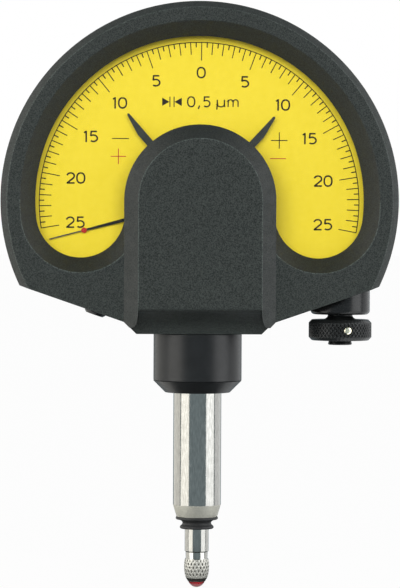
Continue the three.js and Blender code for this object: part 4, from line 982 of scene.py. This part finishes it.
def ball_profile(radius, steps=32):
    centre, profile = -21.83, []
    for i in range(1, steps):
        angle = math.pi * i / steps
        profile.append((radius * math.sin(angle), centre - radius * math.cos(angle)))
    return profile


def contact_ball():
    body = turned("ruby_ball", ball_profile(1.42, SMALL_STEPS), steps=FINE_STEPS)
    finish(smooth(body, 60), RUBY, "measuring_spindle", "ruby", "contact_ball")


# Adjuster and plug


def adjuster_boss():
    body = turned("boss", rounded([
        (1.05, BOSS_BOTTOM), (4.9, BOSS_BOTTOM, 0.65), (4.9, 40), (1.05, 40), (1.05, BOSS_BOTTOM),
    ], 6), centre=ADJUSTER)
    cut(body, plate("boss_roof", underside_outline(-0.05), -20, 20))
    softened(body, 0.06, 50)
    finish(smooth(body), GLOSS_BLACK, "case", "black_steel", "adjuster_boss")


def adjusting_knob():
    bottom, top, bore, neck = 18.235, 21.685, 1.0, 2.05
    rim = [(4.62, 0), (4.72, 0.03), (5.17, 0.5), (5.2, 0.6)]
    outline = [(bore, bottom)] + [(radius, bottom + rise) for radius, rise in rim]
    outline += [(radius, top - rise) for radius, rise in reversed(rim)]
    for i in range(11):
        angle = math.pi / 2 * i / 10
        outline.append((neck + 1.15 * (1 - math.sin(angle)), top + 0.68 * (1 - math.cos(angle))))
    outline += [(neck, BOSS_BOTTOM - 0.08), (bore, BOSS_BOTTOM - 0.08)]
    body = knurled(
        "knob", outline, bottom + 0.45, top - 0.45, teeth=50, rows=3.0, depth=0.16, web=0.3,
        steps=400, rings=40, skins=(KNOB_BLACK, KNOB_DENT_SHADE),
    )
    body.data.transform(Matrix.Translation(Vector(ADJUSTER) * MM))
    cut(body, at_pin(turned("pin_hole", [(0.68, -6), (0.68, -4.4)], "Y", SMALL_STEPS)))
    finish(smooth(body, 30), KNOB_BLACK, "adjuster_unit", "black_steel", "adjusting_knob")


def at_pin(body):
    """Stands a body made on the Y axis at the knob's cross pin."""
    place = Vector((ADJUSTER[0], ADJUSTER[1], PIN_HEIGHT)) * MM
    body.data.transform(Matrix.Translation(place) @ Matrix.Rotation(math.radians(10), 4, "Z"))
    return body


def knob_pin():
    profile = [(0.05, -5.4), (0.25, -5.4), (0.45, -5.37), (0.58, -5.3), (0.62, -5.2), (0.62, -1.0)]
    body = turned("pin", profile, "Y", SMALL_STEPS)
    finish(smooth(at_pin(body), 50), PIN_BRASS, "adjuster_unit", "brass", "knob_pin")


def worm(name, radius, depth, pitch, bottom, top):
    """A rod with one helical thread, on the adjuster's axis."""
    points = []
    rows = round((top - bottom) / pitch * 12)
    for row in range(rows + 1):
        place = bottom + (top - bottom) * row / rows
        for i in range(SMALL_STEPS):
            angle = math.tau * i / SMALL_STEPS
            phase = (place / pitch - i / SMALL_STEPS) % 1.0
            reach = radius - depth * (1 - min(1.0, 1.6 * abs(2 * phase - 1)))
            points.append((reach * math.cos(angle), reach * math.sin(angle), place))
    return outward(mesh_object(name, points, ring_faces(rows + 1, SMALL_STEPS)))


def adjusting_spindle():
    """The spindle with its worm and the cap that holds the knob from below."""
    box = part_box("adjusting_spindle")
    end, top = box[0][2] / MM, box[1][2] / MM
    cap = end + 0.74
    body = turned("adjusting_shaft", rounded([
        (0.2, end), (1.86, end, 0.06), (2.0, end + 0.16, 0.06), (1.82, cap), (0.9, cap),
        (0.9, top - 0.15), (0.75, top), (0.2, top),
    ], 3), steps=FINE_STEPS)
    thread = worm("worm", radius=1.3, depth=0.35, pitch=0.49, bottom=PIVOT - 1.6, top=PIVOT + 1.6)
    combine(body, thread, "UNION")
    body.data.transform(Matrix.Translation(Vector(ADJUSTER) * MM))
    finish(smooth(body), GLOSS_BLACK, "adjuster_unit", "black_steel", "adjusting_spindle")


def release_plug():
    body = turned("plug", rounded([
        (0.1, -0.75), (1.45, -0.75, 0.15), (1.8, -0.4, 0.15), (1.8, -0.05), (1.3, -0.05),
        (1.3, 1.7), (0.1, 1.7),
    ], 4), steps=FINE_STEPS)
    tilted(body, PLUG_PLACE)
    finish(smooth(body), GLOSS_BLACK, "case", "black_steel", "release_plug")


# Dial print


INK_LIFT = 0.012
ARC = (0.0, -0.3, 26.34)
PRINT_TURN = math.radians(0.6)
INTERVAL = -4.58
LINE_WIDTH = 0.15


def on_dial(points):
    """Points of the print, turned about the pivot as the printed scale stands."""
    c, s = math.cos(PRINT_TURN), math.sin(PRINT_TURN)
    return [(x * c + z * s, z * c - x * s) for x, z in points]


def ribbons(name, strokes, lift=INK_LIFT):
    """Printed lines as thin flat bodies. Each stroke is (points, width)."""
    points, faces = [], []
    for line, width in strokes:
        left, right = [], []
        for i, here in enumerate(line):
            here = Vector(here)
            before = Vector(line[max(i - 1, 0)])
            after = Vector(line[min(i + 1, len(line) - 1)])
            along = (after - before).normalized()
            side = Vector((-along.y, along.x))
            if 0 < i < len(line) - 1:
                first = (here - before).normalized()
                bend = max(0.35, side.dot(Vector((-first.y, first.x))))
                side = side / bend
            left.append(here + side * width / 2)
            right.append(here - side * width / 2)
        base = len(points)
        n = len(line)
        for depth in (DIAL_FRONT - lift, DIAL_FRONT + 0.01):
            points += [(p.x, depth, p.y + PIVOT) for p in left]
            points += [(p.x, depth, p.y + PIVOT) for p in right]
        for i in range(n - 1):
            a, b, c, d = base + i, base + i + 1, base + n + i + 1, base + n + i
            faces.append((a, b, c, d))
            faces.append((a + 2 * n, d + 2 * n, c + 2 * n, b + 2 * n))
            faces.append((a, a + 2 * n, b + 2 * n, b))
            faces.append((d, c, c + 2 * n, d + 2 * n))
        for i in (0, n - 1):
            faces.append((base + i, base + n + i, base + 3 * n + i, base + 2 * n + i))
    return outward(mesh_object(name, points, faces))


def arc_points(cx, cz, rx, rz, start, end, steps):
    """Points on an ellipse, by bearings from up in degrees, clockwise."""
    out = []
    for i in range(steps + 1):
        angle = math.radians(start + (end - start) * i / steps)
        out.append((cx + rx * math.sin(angle), cz + rz * math.cos(angle)))
    return out


def glyph(sign):
    """The centre lines of a sign one unit high, from its lower middle."""
    if sign == "0":
        loop = []
        for i in range(33):
            angle = math.tau * i / 32
            s, c = math.sin(angle), math.cos(angle)
            across, up = math.copysign(abs(s) ** 0.85, s), math.copysign(abs(c) ** 0.9, c)
            loop.append((0.33 * across, 0.5 + 0.5 * up))
        return [loop]
    if sign == "1":
        return [[(0.02, 1.07), (0.02, -0.07)], [(-0.17, 0.86), (0.02, 1.0)]]
    if sign == "2":
        top = arc_points(0, 0.7, 0.31, 0.3, -80, 125, 14)
        return [top + [(-0.3, 0.0)], [(-0.34, 0.0), (0.34, 0.0)]]
    if sign == "5":
        bowl = arc_points(-0.02, 0.32, 0.34, 0.32, -38, 222, 18)
        return [[(0.28, 1.0), (-0.2, 1.0)], [(-0.2, 1.07), (-0.25, 0.53)], bowl]
    if sign == ",":
        return [[(0.04, 0.12), (-0.1, -0.24)]]
    if sign == "u":
        bowl = arc_points(-0.06, 0.28, 0.3, 0.28, 270, 90, 12)
        cup = [(-0.36, 0.72), (-0.36, 0.28)] + bowl + [(0.24, 0.72)]
        return [cup, [(0.24, 0.3), (0.26, 0.0)], [(-0.36, 0.3), (-0.4, -0.28)]]
    # What is left is the m
    left = [(-0.42, 0.5)] + arc_points(-0.22, 0.5, 0.2, 0.22, -90, 90, 10) + [(-0.02, 0.0)]
    right = [(-0.02, 0.5)] + arc_points(0.18, 0.5, 0.2, 0.22, -90, 90, 10) + [(0.38, 0.0)]
    return [[(-0.42, 0.0), (-0.42, 0.72)], left, right]


def written(text, centre, height, pitch, width, squeeze=1.0):
    """Signs in a row, as strokes about a centre."""
    tall = height - width
    strokes = []
    for i, sign in enumerate(text):
        across = centre[0] + (i - (len(text) - 1) / 2) * pitch
        for line in glyph(sign):
            placed = [(across + x * tall * squeeze, centre[1] + (z - 0.5) * tall) for x, z in line]
            strokes.append((placed, width))
    return strokes


def dial_scale():
    strokes = []
    cx, cz, radius = ARC
    for i in range(101):
        bearing = math.radians(-100 + 2 * i)
        length = 0.82 if i % 2 else 1.98
        if i % 10 == 0:
            length = 2.96
        ends = [
            (cx + (radius - reach) * math.sin(bearing), cz + (radius - reach) * math.cos(bearing))
            for reach in (0, length)
        ]
        strokes.append((on_dial(ends), 0.19 if i % 2 else 0.155))
    arc = arc_points(cx, cz, radius, radius, -100.15, 100.15, 200)
    strokes.append((on_dial(arc), LINE_WIDTH))
    finish(ribbons("scale_lines", strokes), INK, "dial_unit", "dial_face")


NUMERALS = [
    ("0", 0.21, 21.08),
    ("5", -7.22, 19.68), ("5", 7.38, 19.6),
    ("10", -13.34, 16.02), ("10", 13.5, 15.84),
    ("15", -18.07, 10.49), ("15", 17.95, 10.32),
    ("20", -20.36, 3.65), ("20", 20.38, 3.36),
    ("25", -20.41, -3.62), ("25", 20.37, -3.84),
]

# The interval's signs: place, line width and breadth
INTERVAL_SIGNS = [
    ("0", -1.42, 0.24, 1.1), (",", -0.1, 0.24, 1.0), ("5", 1.12, 0.24, 1.05),
    ("u", 3.58, 0.22, 1.2), ("m", 5.52, 0.2, 1.25),
]


def dial_numerals():
    strokes = []
    for text, x, z in NUMERALS:
        pitch = 1.26 if text[0] == "1" else 1.66
        strokes += written(text, (x, z), 1.92, pitch, 0.27, 1.16)
    for sign, x, width, breadth in INTERVAL_SIGNS:
        strokes += written(sign, (x, 16.28), 1.84, 1, width, breadth)
    minus, plus = [(-14.42, 10.17), (-11.63, 10.17)], [(11.78, 9.99), (14.48, 9.99)]
    upright = [(13.13, 8.64), (13.13, 11.34)]
    strokes += [(line, LINE_WIDTH) for line in (minus, plus, upright)]
    for side in (-1, 1):
        bar = INTERVAL + side * 0.34
        strokes.append(([(bar, 15.4), (bar, 17.1)], 0.16))
    figures = ribbons("scale_figures", strokes, INK_LIFT * 1.1)
    finish(figures, INK, "dial_unit", "dial_face")


def interval_arrows():
    """The two solid arrowheads that point at the interval's bars."""
    points, faces = [], []
    for side in (-1, 1):
        base, tip = INTERVAL + side * 1.62, INTERVAL + side * 0.4
        corners = [(base, 16.93), (base, 15.57), (tip, 16.25)]
        first = len(points)
        for depth in (DIAL_FRONT - INK_LIFT, DIAL_FRONT + 0.01):
            points += [(x, depth, z + PIVOT) for x, z in corners]
        arrow = [(0, 1, 2), (3, 5, 4), (0, 1, 4, 3), (1, 2, 5, 4), (2, 0, 3, 5)]
        faces += [tuple(first + i for i in face) for face in arrow]
    body = outward(mesh_object("interval_arrows", points, faces))
    finish(body, INK, "dial_unit", "dial_face")


def dial_red_signs():
    plus, upright = [(-14.64, 7.24), (-12.09, 7.24)], [(-13.36, 5.96), (-13.36, 8.52)]
    minus = [(11.61, 7.0), (14.25, 7.0)]
    strokes = [(line, LINE_WIDTH) for line in (plus, upright, minus)]
    finish(ribbons("red_signs", strokes), RED_INK, "dial_unit", "red_paint")


# Pointer and markers


POINTER_ANGLE = math.radians(194.6)
POINTER_FRONT = -6.15
POINTER_REAR = -5.9
NEEDLE_TIP = 25.6
BEAD_PLACE = 19.58


def swung(name, outline, front, rear):
    """A flat body on the pointer's bearing, from an outline laid along +X from the pivot."""
    c, s = math.cos(POINTER_ANGLE), math.sin(POINTER_ANGLE)
    return plate(name, [(x * c - z * s, x * s + z * c + PIVOT) for x, z in outline], front, rear)


def pointer_arm():
    """The black arm from its round counterweight to the bead, with a round cap at the hub."""
    tip, waist = 0.17, 0.45
    turns = [math.radians(a) for a in range(20, 341, 10)]
    tail = [(-4.2 + 1.5 * math.cos(a), 1.5 * math.sin(a)) for a in turns]
    outline = [(BEAD_PLACE, -tip), (BEAD_PLACE, tip), (1.4, waist), (-2.4, waist)] + tail
    outline += [(-2.4, -waist), (1.4, -waist)]
    body = swung("pointer_arm", outline, POINTER_FRONT, POINTER_REAR)
    cap = [(1.2, POINTER_FRONT), (1.2, POINTER_REAR)]
    combine(body, house_disc("pointer_cap", cap, MIDDLE_STEPS), "UNION")
    softened(body, 0.04, 40)
    finish(smooth(body, 40), POINTER_BLACK, "pointer_unit", "black_paint", "pointer")


def pointer_needle():
    """The thin flat needle from the bead to the tip."""
    start, shoulder = BEAD_PLACE - 0.3, NEEDLE_TIP - 0.3
    outline = [(start, -0.1), (shoulder, -0.09), (NEEDLE_TIP, 0), (shoulder, 0.09), (start, 0.1)]
    body = swung("pointer_needle", outline, POINTER_FRONT + 0.06, POINTER_REAR - 0.04)
    finish(body, NEEDLE_GREY, "pointer_unit", "black_paint")


def kept(node, material, edge=0.0):
    """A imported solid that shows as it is, with its points joined. A width softens its edges."""
    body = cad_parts[node]
    paint(body, material)
    weld = body.modifiers.new("joined", "WELD")
    weld.merge_threshold = 0.002 * MM
    if edge:
        bevel(body, edge, 30)


KEPT = {
    BRASS: [
        "ball_cage", "guide_bush", "base_plate", "bridge_plate", "pillar_1", "pillar_2", "pillar_3",
        "gear_sector", "intermediate_wheel", "pointer_hub", "hairspring_collet", "dial_carrier",
    ],
    GREY_STEEL: [
        "stop_ring", "drive_collar", "bridge_screw_1", "bridge_screw_2", "bridge_screw_3",
        "base_screw_1", "base_screw_2", "lever_arbor", "transfer_lever", "wheel_arbor",
        "pointer_arbor", "hairspring", "hairspring_stud", "marker_retainer",
        "setting_arbor_left", "setting_arbor_right",
    ],
    RUBY: [
        "jewel_lever_front", "jewel_lever_rear", "jewel_wheel_front", "jewel_wheel_rear",
        "jewel_pointer_front", "jewel_pointer_rear", "jewel_contact",
    ],
    GLASS: ["window_pane"],
    YELLOW: ["dial_plate"],
    MARKER_GREY: ["marker_left", "marker_right"],
    RED_ENAMEL: ["pointer_bead"],
}


add_camera()
add_studio()
front_housing()
rear_cover()
rear_screws()
stem_collar()
mounting_stem()
bellows()
force_spring()
spindle()
contact_point()
contact_ball()
adjuster_boss()
adjusting_knob()
knob_pin()
adjusting_spindle()
release_plug()
dial_scale()
dial_numerals()
interval_arrows()
dial_red_signs()
pointer_arm()
pointer_needle()
for material, names in KEPT.items():
    for name in names:
        kept(name, material, 0.03 if name.startswith("marker_") else 0.0)
